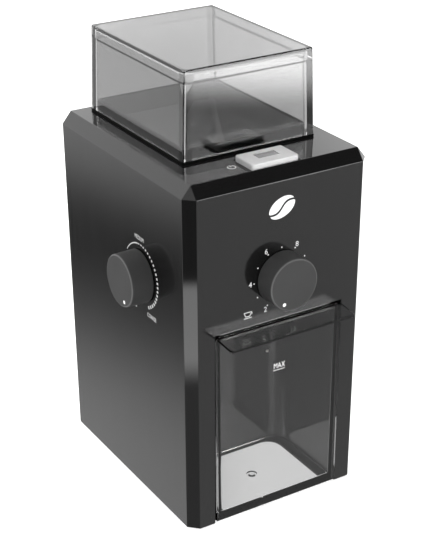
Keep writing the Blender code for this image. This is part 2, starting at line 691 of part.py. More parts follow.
def make_power_switch():
    """The switch under the button, on a bracket behind the front panel."""
    half_x, half_y = mm(9), mm(7)
    switch = block("power_switch", (-half_x, BUTTON_CENTRE.y - half_y, SWITCH_FOOT),
                   (half_x, BUTTON_CENTRE.y + half_y, SWITCH_TOP), SWITCH_BLACK)
    hole_floor = STEM_FOOT - BUTTON_TRAVEL - mm(0.5)
    cut_hole(switch, STEM_RADIUS + GAP, (0, BUTTON_CENTRE.y, hole_floor),
             SWITCH_TOP - hole_floor + OVER)

    bracket_half, sheet, bracket_top = mm(17), mm(1.5), mm(199)
    front = -HALF_DEPTH + HOUSING_WALL + mm(0.6)
    shelf_top = SWITCH_FOOT - GAP
    bracket = block("control_bracket", (-bracket_half, front, shelf_top - sheet),
                    (bracket_half, BUTTON_CENTRE.y + half_y + mm(1), shelf_top), BLACK_SATIN)
    join(bracket, block("bracket_back", (-bracket_half, front, shelf_top - sheet),
                        (bracket_half, front + sheet, bracket_top), BLACK_SATIN))


def panel_draft(height):
    """How far the housing's walls have drawn in at that height."""
    return HOUSING_DRAFT * (HOUSING_TOP - height) / HOUSING_TOP


def knob(name, foot, face, across, axis):
    """A round knob from its foot to its face, with a bevelled rim, and a blind bore for its shaft."""
    height, bore, flare = abs(face - foot), mm(3.3), mm(0.3)
    profile = [
        (0, height), (KNOB_RADIUS - mm(1.2), height), (KNOB_RADIUS - mm(0.3), height - mm(0.4)),
        (KNOB_RADIUS, height - mm(1.2)), (KNOB_RADIUS + flare, 0), (bore, 0), (bore, KNOB_BORE_DEPTH),
        (0, KNOB_BORE_DEPTH),
    ]
    turned(name, profile, KNOB_GREY, across, axis, FINE_ROUND)


def make_quantity_control():
    """The front knob, its shaft, and the timer board and potentiometer that the shaft turns in."""
    knob_foot = -HALF_DEPTH + panel_draft(QUANTITY_HEIGHT) - PANEL_CLEARANCE
    into_knob = KNOB_BORE_DEPTH - mm(0.4)
    knob("quantity_knob", knob_foot, QUANTITY_FACE, (0, knob_foot, QUANTITY_HEIGHT), (0, -1, 0))
    shaft_end = mm(-60.6)
    rod("quantity_shaft", QUANTITY_SHAFT_RADIUS, (0, shaft_end, QUANTITY_HEIGHT),
        shaft_end - knob_foot + into_knob, STEEL, (0, -1, 0), SMALL_ROUND)
    board_half, board_front, board_back = mm(27), mm(-67.4), mm(-65.8)
    board = block("timer_board", (-board_half, board_front, mm(131)), (board_half, board_back, mm(170)),
                  BOARD)
    cut_hole(board, QUANTITY_SHAFT_RADIUS + mm(0.5), (0, board_front - OVER, QUANTITY_HEIGHT), 3 * OVER,
             (0, 1, 0))
    pot_front, pot_depth, pot_radius = board_back + GAP, mm(6), mm(9)
    pot = rod("quantity_potentiometer", pot_radius, (0, pot_front, QUANTITY_HEIGHT), pot_depth,
              SWITCH_BLACK, (0, 1, 0))
    hole_length = OVER + pot_depth - mm(0.7)
    cut_hole(pot, QUANTITY_SHAFT_RADIUS + mm(0.2), (0, pot_front - OVER, QUANTITY_HEIGHT), hole_length,
             (0, 1, 0))


def make_coarseness_control():
    """The left knob, whose shaft carries a pinion under the adjuster ring's teeth."""
    y, z = COARSENESS_PLACE
    knob_foot = -HALF_WIDTH + panel_draft(z) - PANEL_CLEARANCE
    into_knob = KNOB_BORE_DEPTH - mm(0.4)
    knob("coarseness_knob", knob_foot, COARSENESS_FACE, (knob_foot, y, z), (-1, 0, 0))
    shaft_end = mm(-29.5)
    rod("coarseness_shaft", COARSENESS_SHAFT_RADIUS, (shaft_end, y, z),
        shaft_end - knob_foot + into_knob, STEEL, (-1, 0, 0), SMALL_ROUND)
    pinion_start, pinion_face = mm(-36.3), mm(4.6)
    gear("coarseness_pinion", PINION_TEETH, (pinion_start, y, z), COARSENESS_SHAFT_RADIUS + GAP, NYLON,
         (1, 0, 0), pinion_face, turned_by=math.pi / PINION_TEETH)
    left, right, half, above = mm(-47), mm(-41), mm(6), mm(6.5)
    bracket = block("shaft_bracket", (left, y - half, DECK_TOP + GAP), (right, y + half, z + above),
                    BLACK_SATIN)
    cut_hole(bracket, COARSENESS_SHAFT_RADIUS + RUNNING, (left - OVER, y, z), 4 * OVER, (1, 0, 0))


# ---------------------------------------------------------------- drive

def make_motor():
    """A universal motor: can, end cap, stator and brushes, and the rotor with its fan and pinion."""
    make_motor_shell()
    make_rotor()
    inner, outer, half, bottom, top = mm(8.4), mm(16), mm(2.5), mm(32.5), mm(38)
    block("brush_left", (-outer, MOTOR_Y - half, bottom), (-inner, MOTOR_Y + half, top), CARBON)
    block("brush_right", (inner, MOTOR_Y - half, bottom), (outer, MOTOR_Y + half, top), CARBON)


def make_motor_shell():
    centre = (0, MOTOR_Y)
    bottom, top, end_wall, side_wall = mm(27), FRAME_BOTTOM - GAP, mm(2), mm(1.6)
    height, inside = top - bottom, MOTOR_RADIUS - side_wall
    bush_outside, bush_height = mm(4.4), mm(3.4)
    shaft_hole = MOTOR_SHAFT_RADIUS + RUNNING
    can = turned("motor_can", [
        (MOTOR_RADIUS, height), (MOTOR_RADIUS, 0), (inside, 0), (inside, height - end_wall),
        (bush_outside + GAP, height - end_wall), (bush_outside + GAP, height),
    ], STEEL, (*centre, bottom), steps=FINE_ROUND)
    vent_height, vent_size = mm(84), mm(5, 5, 3.5)
    for index in range(4):
        x, y = polar(MOTOR_RADIUS, math.radians(45 + 90 * index))
        spot = Vector((x, MOTOR_Y + y, vent_height))
        cut_block(can, spot - vent_size, spot + vent_size, "vent")

    cap, boss_depth, spigot_top = mm(2.7), mm(4), mm(6.7)
    turned("motor_end_cap", [
        (MOTOR_RADIUS, cap), (MOTOR_RADIUS, 0), (mm(9), 0), (mm(8), -boss_depth),
        (shaft_hole, -boss_depth),
        (shaft_hole, cap), (mm(21), cap), (mm(21), spigot_top), (mm(24), spigot_top), (mm(24), cap),
    ], BLACK_SATIN, (*centre, bottom - GAP - cap))
    ring("motor_bush", shaft_hole, bush_outside, top - bush_height, top, BRASS, centre, SMALL_ROUND)

    stator_inside, stator_outside, stator_bottom, stator_top = mm(17.6), mm(24), mm(40), mm(77)
    stator = ring("stator", stator_inside, stator_outside, stator_bottom, stator_top, LAMINATION,
                  centre, FINE_ROUND)
    winding = mm(4)
    for x in (-stator_outside, stator_outside):
        cut_block(stator, (x - winding, MOTOR_Y - winding, stator_bottom - OVER),
                  (x + winding, MOTOR_Y + winding, stator_top + OVER), "winding")


def make_rotor():
    """The shaft, and on it the commutator, the slotted armature, the fan and the pinion."""
    centre = (0, MOTOR_Y)
    shaft_bottom, shaft_length = mm(20.7), mm(86)
    rod("rotor_shaft", MOTOR_SHAFT_RADIUS, (*centre, shaft_bottom), shaft_length, STEEL,
        sides=SMALL_ROUND)
    shaft_fit = circle_outline(MOTOR_SHAFT_RADIUS + RUNNING)
    bars = toothed_outline(12, mm(7.5), mm(8), 0.9, 0.86)
    plate("commutator", [bars, shaft_fit], mm(7.5), BRASS, (*centre, mm(31.5)))
    poles = toothed_outline(12, mm(12), mm(16.8), 0.72, 0.80)
    plate("armature", [poles, shaft_fit], mm(33), LAMINATION, (*centre, mm(42)))
    blades = toothed_outline(9, mm(6), mm(22), 0.75, 0.10)
    plate("cooling_fan", [blades, shaft_fit], mm(7), NYLON, (*centre, mm(80)))
    gear("motor_pinion", PINION_TEETH, (*centre, FIRST_STAGE), MOTOR_SHAFT_RADIUS + RUNNING, BRASS,
         turned_by=math.radians(90))


def legged_plate(name, front, bottom, top, leg_foot):
    """A steel plate with rounded corners, standing on four legs."""
    half, back, corner = mm(50), mm(62), mm(4)
    made = block(name, (-half, front, bottom), (half, back, top), STEEL, upright_bevel=corner)
    for index, place_xy in enumerate(LEG_PLACES):
        leg = rod(f"{name}_leg_{index}", LEG_RADIUS, (*place_xy, leg_foot), bottom + mm(0.5) - leg_foot,
                  STEEL, sides=SMALL_ROUND)
        join(made, leg)
    cut_hole(made, INTERMEDIATE_SHAFT_RADIUS + RUNNING, (0, INTERMEDIATE_Y, bottom - OVER), 3 * OVER)
    return made


def make_motor_frame():
    """Carries the motor and the intermediate shaft over the base plate."""
    bush_hole = mm(4.7)
    frame = legged_plate("motor_frame", mm(-8.6), FRAME_BOTTOM, FRAME_TOP, PLATE_TOP + GAP)
    cut_hole(frame, bush_hole, (0, MOTOR_Y, FRAME_BOTTOM - OVER), 3 * OVER)


def make_gear_deck():
    """Carries the grinding chamber over the bay and stands on the motor frame."""
    deck = legged_plate("gear_deck", mm(-46), DECK_BOTTOM, DECK_TOP, FRAME_TOP + GAP)
    cut_hole(deck, DRIVE_SHAFT_RADIUS + RUNNING, (0, BURR_Y, DECK_BOTTOM - OVER), 3 * OVER)


def make_intermediate_shaft():
    centre = (0, INTERMEDIATE_Y)
    radius, length = INTERMEDIATE_SHAFT_RADIUS, mm(41)
    rod("intermediate_shaft", radius, (*centre, FRAME_BOTTOM + mm(0.2)), length, STEEL,
        sides=SMALL_ROUND)
    facing_motor = math.radians(90) + math.pi / INTERMEDIATE_TEETH
    gear("intermediate_gear", INTERMEDIATE_TEETH, (*centre, FIRST_STAGE), radius + RUNNING, NYLON,
         turned_by=facing_motor)
    gear("intermediate_pinion", PINION_TEETH, (*centre, SECOND_STAGE), radius + RUNNING, STEEL,
         turned_by=math.radians(-90))


def make_burr_drive():
    """The upright shaft in its bearing, with the drive gear below and the lower burr and feeder above."""
    centre = (0, BURR_Y)
    radius, length = DRIVE_SHAFT_RADIUS, mm(33)
    bearing_outside, bearing_top = mm(8), mm(138)
    rod("drive_shaft", radius, (*centre, DECK_BOTTOM + mm(0.2)), length, STEEL, sides=SMALL_ROUND)
    ring("burr_bearing", radius + RUNNING, bearing_outside, CHAMBER_FLOOR, bearing_top, STEEL, centre,
         SMALL_ROUND)
    facing_pinion = math.radians(90) + math.pi / DRIVE_TEETH
    gear("drive_gear", DRIVE_TEETH, (*centre, SECOND_STAGE), radius + RUNNING, NYLON,
         turned_by=facing_pinion)
    shaft_fit = circle_outline(radius + RUNNING)
    sweepers = toothed_outline(6, mm(22.4), mm(24.9), 0.5, 0.22)
    carrier_bottom, carrier_thickness = mm(138.4), mm(2.6)
    plate("lower_burr_carrier", [sweepers, shaft_fit], carrier_thickness, BLACK_SATIN,
          (*centre, carrier_bottom))
    burr("lower_burr", mm(8.6), LOWER_BURR_BOTTOM, LOWER_BURR_TOP, 1)
    arms = toothed_outline(3, mm(6.4), mm(11), 0.5, 0.25)
    feeder_height = mm(9)
    plate("bean_feeder", [arms, shaft_fit], feeder_height, BURR_STEEL, (*centre, LOWER_BURR_TOP + GAP))


def burr(name, bore, bottom, top, face):
    """A flat steel burr: a ring with open radial grooves on its working face, +1 above or -1 below."""
    groove, overlap = mm(1.2), mm(0.1)
    body_bottom = bottom if face > 0 else bottom + groove
    body_top = top - groove if face > 0 else top
    body = ring(name, bore, BURR_RADIUS, body_bottom, body_top, BURR_STEEL, (0, BURR_Y))
    teeth_bottom = body_top - overlap if face > 0 else bottom
    teeth = toothed_outline(18, mm(14), BURR_RADIUS - mm(0.3), 0.55, 0.72)
    crown = plate(f"{name}_teeth", [teeth, circle_outline(bore + mm(0.4))], groove + overlap,
                  BURR_STEEL, (0, BURR_Y, teeth_bottom))
    return join(body, as_mesh(crown))


def make_grinding_chamber():
    """An open cup round the burrs, on four legs, with a spout that drops the grounds into the chute."""
    floor = mm(138)
    height, floor_thickness, bearing_hole = CHAMBER_TOP - CHAMBER_FLOOR, floor - CHAMBER_FLOOR, mm(8.3)
    chamber = turned("grinding_chamber", [
        (CHAMBER_RADIUS, height), (CHAMBER_RADIUS, 0), (bearing_hole, 0),
        (bearing_hole, floor_thickness), (CHAMBER_INSIDE, floor_thickness), (CHAMBER_INSIDE, height),
    ], BLACK_SATIN, (0, BURR_Y, CHAMBER_FLOOR), steps=FINE_ROUND)
    leg_circle, leg_radius, leg_height = mm(30.5), mm(3.5), mm(14)
    for degrees in (40, 140, 220, 320):
        x, y = polar(leg_circle, math.radians(degrees))
        foot = Vector((x, BURR_Y + y, DECK_TOP + GAP))
        join(chamber,
             rod(f"chamber_leg_{degrees}", leg_radius, foot, leg_height, BLACK_SATIN,
                 sides=SMALL_ROUND))

    spout_half, spout_front, spout_back, spout_wall = mm(10), mm(-58.8), mm(-44), mm(1.6)
    spout_bottom, spout_top, drop_back = mm(136), mm(148), mm(-48.3)
    spout = block("chamber_spout", (-spout_half, spout_front, spout_bottom),
                  (spout_half, spout_back, spout_top), BLACK_SATIN)
    cut_hole(spout, CHAMBER_INSIDE + mm(0.2), (0, BURR_Y, spout_bottom - OVER),
             spout_top - spout_bottom + 2 * OVER, sides=FINE_ROUND)
    join(chamber, spout)
    passage, passage_front = spout_half - spout_wall, spout_front + spout_wall
    cut_block(chamber, (-passage, passage_front, floor + mm(0.1)),
              (passage, spout_back + 2 * OVER, spout_top - spout_wall), "outlet")
    cut_block(chamber, (-passage, passage_front, spout_bottom - OVER),
              (passage, drop_back, floor + mm(2)), "drop")


def make_chute():
    top, bottom = CHAMBER_FLOOR - GAP, BAY_TOP - mm(0.3)
    chute = block("chute", (-CHUTE_HALF_WIDTH, CHUTE_FRONT, bottom),
                  (CHUTE_HALF_WIDTH, CHUTE_BACK, top), BLACK_SATIN)
    cut_block(chute, (-CHUTE_HALF_WIDTH + CHUTE_WALL, CHUTE_FRONT + CHUTE_WALL, bottom - OVER),
              (CHUTE_HALF_WIDTH - CHUTE_WALL, CHUTE_BACK - CHUTE_WALL, top + OVER), "passage")


def make_upper_burr():
    bore, height = mm(13), mm(3.1)
    burr("upper_burr", bore, UPPER_BURR_BOTTOM, UPPER_BURR_TOP, -1)
    outside, throat, mouth, lip = mm(25.1), bore + mm(0.4), mm(18), mm(0.6)
    turned("upper_burr_carrier",
           [(outside, height), (outside, 0), (throat, 0), (throat, lip), (mouth, height)],
           BLACK_SATIN, (0, BURR_Y, UPPER_BURR_TOP + GAP))


def adjuster_tooth(angle, tip_height, root_height):
    """One face-gear tooth under the ring, narrowing downward, as a mesh turned to its angle."""
    inner, outer, tip_half, root_half = mm(31.2), mm(36.8), mm(0.35), mm(0.75)
    bm = box_mesh((inner, -root_half, tip_height), (outer, root_half, root_height))
    for vert in bm.verts:
        if vert.co.z < (tip_height + root_height) / 2:
            vert.co.y = math.copysign(tip_half, vert.co.y)
    bm.transform(Matrix.Translation((0, BURR_Y, 0)) @ Matrix.Rotation(angle, 4, "Z"))
    mesh = bpy.data.meshes.new("tooth")
    bm.to_mesh(mesh)
    bm.free()
    return mesh


def make_adjuster_ring():
    """Turns on the chamber's rim over the upper burr's carrier. Only the sector of its underside that
    passes the pinion is toothed."""
    body_bottom, flange_bottom, top, opening = mm(148.45), mm(152.9), mm(155.5), mm(19)
    tooth_tip, overlap = mm(146.6), mm(0.2)
    adjuster = turned("adjuster_ring", [
        (RING_OUTSIDE, top - body_bottom), (RING_OUTSIDE, 0), (RING_INSIDE, 0),
        (RING_INSIDE, flange_bottom - body_bottom), (opening, flange_bottom - body_bottom),
        (opening, top - body_bottom),
    ], NYLON, (0, BURR_Y, body_bottom), steps=FINE_ROUND)
    first_tooth, last_tooth = -1, 13
    teeth = bmesh.new()
    for index in range(first_tooth, last_tooth + 1):
        angle = math.pi + index * 2 * math.pi / RING_TEETH
        tooth = adjuster_tooth(angle, tooth_tip, body_bottom + overlap)
        teeth.from_mesh(tooth)
        bpy.data.meshes.remove(tooth)
    join(adjuster, from_bmesh("adjuster_teeth", teeth, NYLON))


# ---------------------------------------------------------------- safety switches

def make_lid_switch():
    """A switch under the top, and the pin through the hopper's flange that the lid holds down."""
    x, y = LID_PIN
    pin_bottom, pin_top = mm(198), HOUSING_TOP + GAP + FLANGE_THICKNESS
    rod("lid_switch_pin", PIN_RADIUS, (x, y, pin_bottom), pin_top - pin_bottom, NYLON,
        sides=SMALL_ROUND)
    left, right, half, bottom, top = mm(39.2), mm(47), mm(6), mm(189), HOUSING_TOP - HOUSING_WALL - GAP
    switch = block("lid_switch", (left, y - half, bottom), (right, y + half, top), SWITCH_BLACK)
    hole_floor = pin_bottom - mm(2.5)
    cut_hole(switch, PIN_HOLE_RADIUS, (x, y, hole_floor), top - hole_floor + OVER)


def make_container_switch():
    """A switch behind the bay, and the pin that the container pushes back."""
    x, z = CONTAINER_PIN
    pin_length = mm(8)
    rod("container_switch_pin", PIN_RADIUS, (x, BAY_BACK - mm(0.4), z), pin_length, NYLON, (0, 1, 0),
        SMALL_ROUND)
    front, half, below, above, depth = BAY_BACK + BAY_WALL + GAP, mm(6), mm(4), mm(10), mm(9)
    switch = block("container_switch", (x - half, front, z - below),
                   (x + half, front + depth, z + above), SWITCH_BLACK)
    cut_hole(switch, PIN_HOLE_RADIUS, (x, front - OVER, z), OVER + depth - mm(2), (0, 1, 0))


make_housing()
make_base_plate()
make_feet()
make_base_screws()
make_cord_gland()
make_container_bay()
make_container()
make_container_cover()
make_bean_hopper()
make_hopper_lid()
make_on_off_button()
make_button_spring()
make_power_switch()
make_quantity_control()
make_coarseness_control()
make_motor()
make_motor_frame()
make_gear_deck()
make_intermediate_shaft()
make_burr_drive()
make_grinding_chamber()
make_chute()
make_upper_burr()
make_adjuster_ring()
make_lid_switch()
make_container_switch()
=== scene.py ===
"""The looks of the burr coffee grinder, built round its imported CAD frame.

Metres, +Z up. Pieces are drawn from the middle of the housing's footprint, where the front faces -Y and
the coarseness knob is on the -X side, in millimetres through mm(). The clear lid, the clear drawer, the
hopper, the controls and the shell are rebuilt here with rounded edges. The mechanism keeps its CAD
meshes and gets procedural materials.
"""

import json
import math

import bmesh
import bpy
from mathutils import Matrix, Quaternion, Vector


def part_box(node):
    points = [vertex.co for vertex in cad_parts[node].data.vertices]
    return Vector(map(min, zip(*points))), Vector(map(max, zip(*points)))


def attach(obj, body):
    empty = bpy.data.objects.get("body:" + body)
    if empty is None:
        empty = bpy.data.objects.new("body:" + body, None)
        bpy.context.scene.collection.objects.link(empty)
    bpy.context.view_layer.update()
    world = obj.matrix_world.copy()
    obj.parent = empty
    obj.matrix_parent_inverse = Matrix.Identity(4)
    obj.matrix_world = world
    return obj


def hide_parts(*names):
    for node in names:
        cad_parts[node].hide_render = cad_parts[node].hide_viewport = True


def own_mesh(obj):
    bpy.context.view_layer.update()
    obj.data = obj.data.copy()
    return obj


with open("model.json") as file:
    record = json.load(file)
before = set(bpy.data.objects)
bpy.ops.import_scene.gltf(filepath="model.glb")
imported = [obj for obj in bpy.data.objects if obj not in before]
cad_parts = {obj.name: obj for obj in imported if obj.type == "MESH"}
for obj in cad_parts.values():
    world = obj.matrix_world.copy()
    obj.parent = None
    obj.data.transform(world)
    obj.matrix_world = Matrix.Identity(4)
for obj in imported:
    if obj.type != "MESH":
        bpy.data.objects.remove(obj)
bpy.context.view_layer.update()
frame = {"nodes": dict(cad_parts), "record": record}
scene = bpy.context.scene


def mm(*values):
    """Millimetres as metres: one number, or a vector of three."""
    scaled = [value * 0.001 for value in values]
    return scaled[0] if len(scaled) == 1 else Vector(scaled)


# ---- places, from the frame

HALF_DEPTH = mm(71)
HOUSING_LOW, HOUSING_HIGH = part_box("housing")
ORIGIN = Vector(((HOUSING_LOW.x + HOUSING_HIGH.x) / 2, HOUSING_HIGH.y - HALF_DEPTH, 0))


def span(node):
    """Lowest and highest corner of a CAD node, from the middle of the housing's footprint."""
    low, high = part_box(node)
    return low - ORIGIN, high - ORIGIN


def middle_of(node):
    low, high = span(node)
    return (low + high) / 2


# Housing. Its walls draw in by the draft from its top down to the table
HALF_WIDTH = mm(58)
HOUSING_TOP = span("housing")[1].z
HOUSING_BOTTOM = span("housing")[0].z
HOUSING_WALL = mm(2.2)
HOUSING_DRAFT = mm(1)
CHAMFER = mm(5.6)
CHAMFER_DROP = mm(6.8)
LEAN = HOUSING_DRAFT / HOUSING_TOP


def drawn_in(height):
    """How far the housing's walls have drawn in at that height."""
    return HOUSING_DRAFT * (HOUSING_TOP - height) / HOUSING_TOP


# Lid: how far its sides, and its front and back, draw in from its foot to its top
LID_SIDE_TAPER, LID_END_TAPER = mm(1.55), mm(0.62)

# The bean tray's mouth (half its width, its front, its back and its corner), and the switch pins' holes
TRAY = mm(38.5), mm(-36.3), mm(62), mm(5)
PIN_HOLE = mm(1.3)

# Knobs: the middle of each, and their radius
QUANTITY_HEIGHT = middle_of("quantity_knob").z
COARSENESS_Y = middle_of("coarseness_knob").y
COARSENESS_HEIGHT = middle_of("coarseness_knob").z
KNOB_RADIUS = mm(15)

# How thick a printed mark is, and how far a cutter runs past the surface that it cuts
PRINT_THICKNESS = mm(0.05)
OVER = mm(4)

# Camera: where it looks, how far off it is, from which way in degrees, and its lens in millimetres
CAMERA_TARGET = mm(1.793, 0, 122.506)
CAMERA_DISTANCE = mm(823.63)
CAMERA_AZIMUTH, CAMERA_ELEVATION, CAMERA_ROLL = -31.459, 25.434, -0.256
CAMERA_LENS = 94.35


# ---- node graphs

class Graph:
    """Adds nodes to a tree, so that a material or the studio reads as a formula."""

    def __init__(self, tree):
        self.tree = tree

    def node(self, kind, **settings):
        made = self.tree.nodes.new(kind)
        for name, value in settings.items():
            setattr(made, name, value)
        return made

    def feed(self, socket, value):
        """Joins another node's output to a socket, or sets the socket's own value."""
        if isinstance(value, bpy.types.NodeSocket):
            self.tree.links.new(value, socket)
        else:
            socket.default_value = value

    def shade(self, **sockets):
        """Feeds sockets of the Principled shader. A name has _ for each space."""
        shader = self.tree.nodes["Principled BSDF"]
        for name, value in sockets.items():
            self.feed(shader.inputs[name.replace("_", " ")], value)

    def math(self, operation, *values):
        made = self.node("ShaderNodeMath", operation=operation)
        for socket, value in zip(made.inputs, values):
            self.feed(socket, value)
        return made.outputs[0]

    def add(self, a, b):
        return self.math("ADD", a, b)

    def times(self, a, b):
        return self.math("MULTIPLY", a, b)

    def step(self, value, low, high, start=0.0, end=1.0):
        """Rises smoothly from start to end while the value goes from low to high."""
        made = self.node("ShaderNodeMapRange", interpolation_type="SMOOTHSTEP")
        for name, given in (("Value", value), ("From Min", low), ("From Max", high), ("To Min", start),
                            ("To Max", end)):
            self.feed(made.inputs[name], given)
        return made.outputs[0]

    def between(self, value, start, full, still_full, end):
        """1 from full to still_full, falling smoothly to 0 at the start and at the end."""
        return self.times(self.step(value, start, full), self.step(value, end, still_full))

    def blend(self, share, a, b):
        """a where the share is 0, and b where it is 1."""
        made = self.node("ShaderNodeMix", data_type="FLOAT")
        for index, given in ((0, share), (2, a), (3, b)):
            self.feed(made.inputs[index], given)
        return made.outputs[0]

    def ramp(self, value, stops):
        """A curve through (position, height) stops, as a grey."""
        made = self.node("ShaderNodeValToRGB")
        made.color_ramp.interpolation = "EASE"
        while len(made.color_ramp.elements) < len(stops):
            made.color_ramp.elements.new(0.5)
        for element, (position, height) in zip(made.color_ramp.elements, stops):
            element.position = position
            element.color = (height, height, height, 1)
        self.feed(made.inputs[0], value)
        return made.outputs[0]

    def parts(self, vector):
        made = self.node("ShaderNodeSeparateXYZ")
        self.feed(made.inputs[0], vector)
        return made.outputs["X"], made.outputs["Y"], made.outputs["Z"]

    def noise(self, size, stretch=(1, 1, 1), detail=2.0):
        """Noise in the piece's own space. Its grains are about this size, and longer by each stretch."""
        coordinates = self.node("ShaderNodeTexCoord").outputs["Object"]
        mapping = self.node("ShaderNodeMapping")
        mapping.inputs["Scale"].default_value = [1 / (size * share) for share in stretch]
        self.feed(mapping.inputs["Vector"], coordinates)
        texture = self.node("ShaderNodeTexNoise")
        texture.inputs["Scale"].default_value = 1
        texture.inputs["Detail"].default_value = detail
        self.feed(texture.inputs["Vector"], mapping.outputs[0])
        return texture.outputs["Fac"]

    def bump(self, height, distance):
        made = self.node("ShaderNodeBump")
        made.inputs["Strength"].default_value = 1.0
        made.inputs["Distance"].default_value = distance
        self.feed(made.inputs["Height"], height)
        return made.outputs[0]

    def tint(self, share, dark, light):
        """A colour between two, by a share."""
        made = self.node("ShaderNodeMix", data_type="RGBA")
        self.feed(made.inputs[0], share)
        self.feed(made.inputs[6], (*dark, 1))
        self.feed(made.inputs[7], (*light, 1))
        return made.outputs[2]


def grey(value):
    return (value, value, value)


def shaded(colour, share):
    return tuple(channel * share for channel in colour)


def surface(name, **sockets):
    """A new material and its graph."""
    material = bpy.data.materials.new(name)
    material.use_nodes = True
    graph = Graph(material.node_tree)
    graph.shade(**sockets)
    return material, graph


# ---- materials

def moulded(name, colour, roughness, grain=mm(0.35), depth=mm(0.006), mottle=0.12, shine=0.5):
    """Moulded plastic: a fine spark-eroded grain, and slow changes of tone and polish."""
    material, graph = surface(name, IOR=1.5, Specular_IOR_Level=shine)
    fine = graph.noise(grain, detail=3.0)
    slow = graph.noise(mm(18), detail=1.0)
    graph.shade(Base_Color=graph.tint(slow, shaded(colour, 1 - mottle), shaded(colour, 1 + mottle)),
                Roughness=graph.step(fine, 0.2, 0.8, roughness * 0.9, roughness * 1.1),
                Normal=graph.bump(fine, depth))
    return material


def glossy_housing():
    """Black housing: polished on top and on its chamfers, with fine upright brushing on its flat walls."""
    material, graph = surface("housing_gloss", IOR=1.5)
    across, along, _ = graph.parts(graph.node("ShaderNodeNewGeometry").outputs["Normal"])
    squareness = graph.math("MAXIMUM", graph.math("ABSOLUTE", across), graph.math("ABSOLUTE", along))
    flat_wall = graph.step(squareness, 0.97, 0.995)
    streaks = graph.noise(mm(0.9), stretch=(1, 1, 60), detail=3.0)
    slow = graph.noise(mm(25), detail=1.0)
    wall_roughness = graph.step(streaks, 0.3, 0.7, 0.10, 0.135)
    graph.shade(Base_Color=graph.tint(slow, grey(0.0045), grey(0.0060)),
                Roughness=graph.blend(flat_wall, 0.03, wall_roughness),
                Normal=graph.bump(graph.times(flat_wall, streaks), mm(0.0035)))
    return material


def clear_plastic(name, tint, ior=1.49):
    """Polished clear plastic, with a faint flow mark in its polish."""
    material, graph = surface(name, IOR=ior, Transmission_Weight=1.0, Base_Color=(*tint, 1))
    flow = graph.noise(mm(14), detail=1.0)
    graph.shade(Roughness=graph.step(flow, 0.3, 0.7, 0.0, 0.012))
    return material


def metal(name, colour, roughness, size=mm(0.4)):
    """Worked metal, with fine marks about this size."""
    material, graph = surface(name, Metallic=1.0)
    marks = graph.noise(size, detail=4.0)
    graph.shade(Base_Color=graph.tint(marks, shaded(colour, 0.85), colour),
                Roughness=graph.step(marks, 0.2, 0.8, roughness * 0.75, roughness * 1.25),
                Normal=graph.bump(marks, mm(0.004)))
    return material


def laminations():
    """Stacked motor sheets: a fine line at each sheet's edge."""
    material, graph = surface("laminations", Metallic=0.9)
    height = graph.parts(graph.node("ShaderNodeTexCoord").outputs["Object"])[2]
    sheet = mm(0.8)
    across = graph.math("FRACT", graph.times(height, 1 / sheet))
    line = graph.step(graph.math("ABSOLUTE", graph.add(across, -0.5)), 0.35, 0.5)
    graph.shade(Base_Color=graph.tint(line, grey(0.30), grey(0.12)), Roughness=graph.blend(line, 0.4, 0.7),
                Normal=graph.bump(line, mm(-0.05)))
    return material


def silver_paint():
    """Fine pearl silver paint on the button."""
    material, graph = surface("button_silver", IOR=1.5, Coat_Weight=0.35, Coat_Roughness=0.12, Metallic=0.15)
    flake = graph.noise(mm(0.12), detail=2.0)
    slow = graph.noise(mm(9), detail=1.0)
    graph.shade(Base_Color=graph.tint(slow, grey(0.43), grey(0.48)),
                Roughness=graph.step(flake, 0.2, 0.8, 0.30, 0.42), Normal=graph.bump(flake, mm(0.003)))
    return material


def printed(name, tone):
    """Screen printing: a thin ink that is a little uneven."""
    material, graph = surface(name, IOR=1.45)
    uneven = graph.noise(mm(0.5), detail=2.0)
    graph.shade(Base_Color=graph.tint(uneven, grey(tone * 0.93), grey(tone)),
                Roughness=graph.step(uneven, 0.2, 0.8, 0.45, 0.6))
    return material


HOUSING = glossy_housing()
LID_CLEAR = clear_plastic("lid_smoked_clear", grey(0.50))
DRAWER_CLEAR = clear_plastic("drawer_clear", grey(0.84), ior=1.42)
SATIN_BLACK = moulded("satin_black_moulding", grey(0.012), 0.42, shine=0.15)
# Painted light: the funnel's grey is far lighter than its black moulding, to make up for the shade it sits in
# under the lid.
HOPPER_PAINTED_LIGHT = moulded("hopper_moulding_painted_light", grey(0.11), 0.25)
RIM_BLACK = moulded("hopper_rim", grey(0.003), 0.45, shine=0.05)
KNOB_SIDE = moulded("knob_side", grey(0.030), 0.52, grain=mm(0.25), shine=0.4)
# Painted highlight: the knob's rim is a lighter grey than its side, standing in for the light that the rim
# catches.
KNOB_RIM_HIGHLIGHT = moulded("knob_rim_painted_highlight", grey(0.075), 0.5, grain=mm(0.25), shine=0.3)
KNOB_CAP = moulded("knob_cap", grey(0.042), 0.6, grain=mm(0.25), shine=0.13)
WINDOW = moulded("button_window_tint", grey(0.16), 0.12, depth=mm(0.001))
SILVER = silver_paint()
RUBBER = moulded("rubber", grey(0.02), 0.75, grain=mm(0.6), depth=mm(0.02))
STEEL = metal("steel_sheet", (0.56, 0.57, 0.58), 0.32)
BURR_STEEL = metal("ground_burr_steel", (0.45, 0.46, 0.47), 0.36, size=mm(0.2))
BRASS = metal("machined_brass", (0.72, 0.52, 0.22), 0.28)
NYLON = moulded("natural_nylon", (0.80, 0.78, 0.72), 0.42, mottle=0.03)
CARBON = moulded("pressed_carbon", grey(0.05), 0.6, grain=mm(0.15), depth=mm(0.015))
BOARD = moulded("coated_board", (0.04, 0.19, 0.10), 0.4, grain=mm(1.2), depth=mm(0.01))
SWITCH_BLACK = moulded("switch_moulding", grey(0.045), 0.45)
LAMINATIONS = laminations()
WHITE_PRINT = printed("white_print", 0.80)
PALE_PRINT = printed("pale_print", 0.55)
GREY_PRINT = printed("grey_print", 0.30)

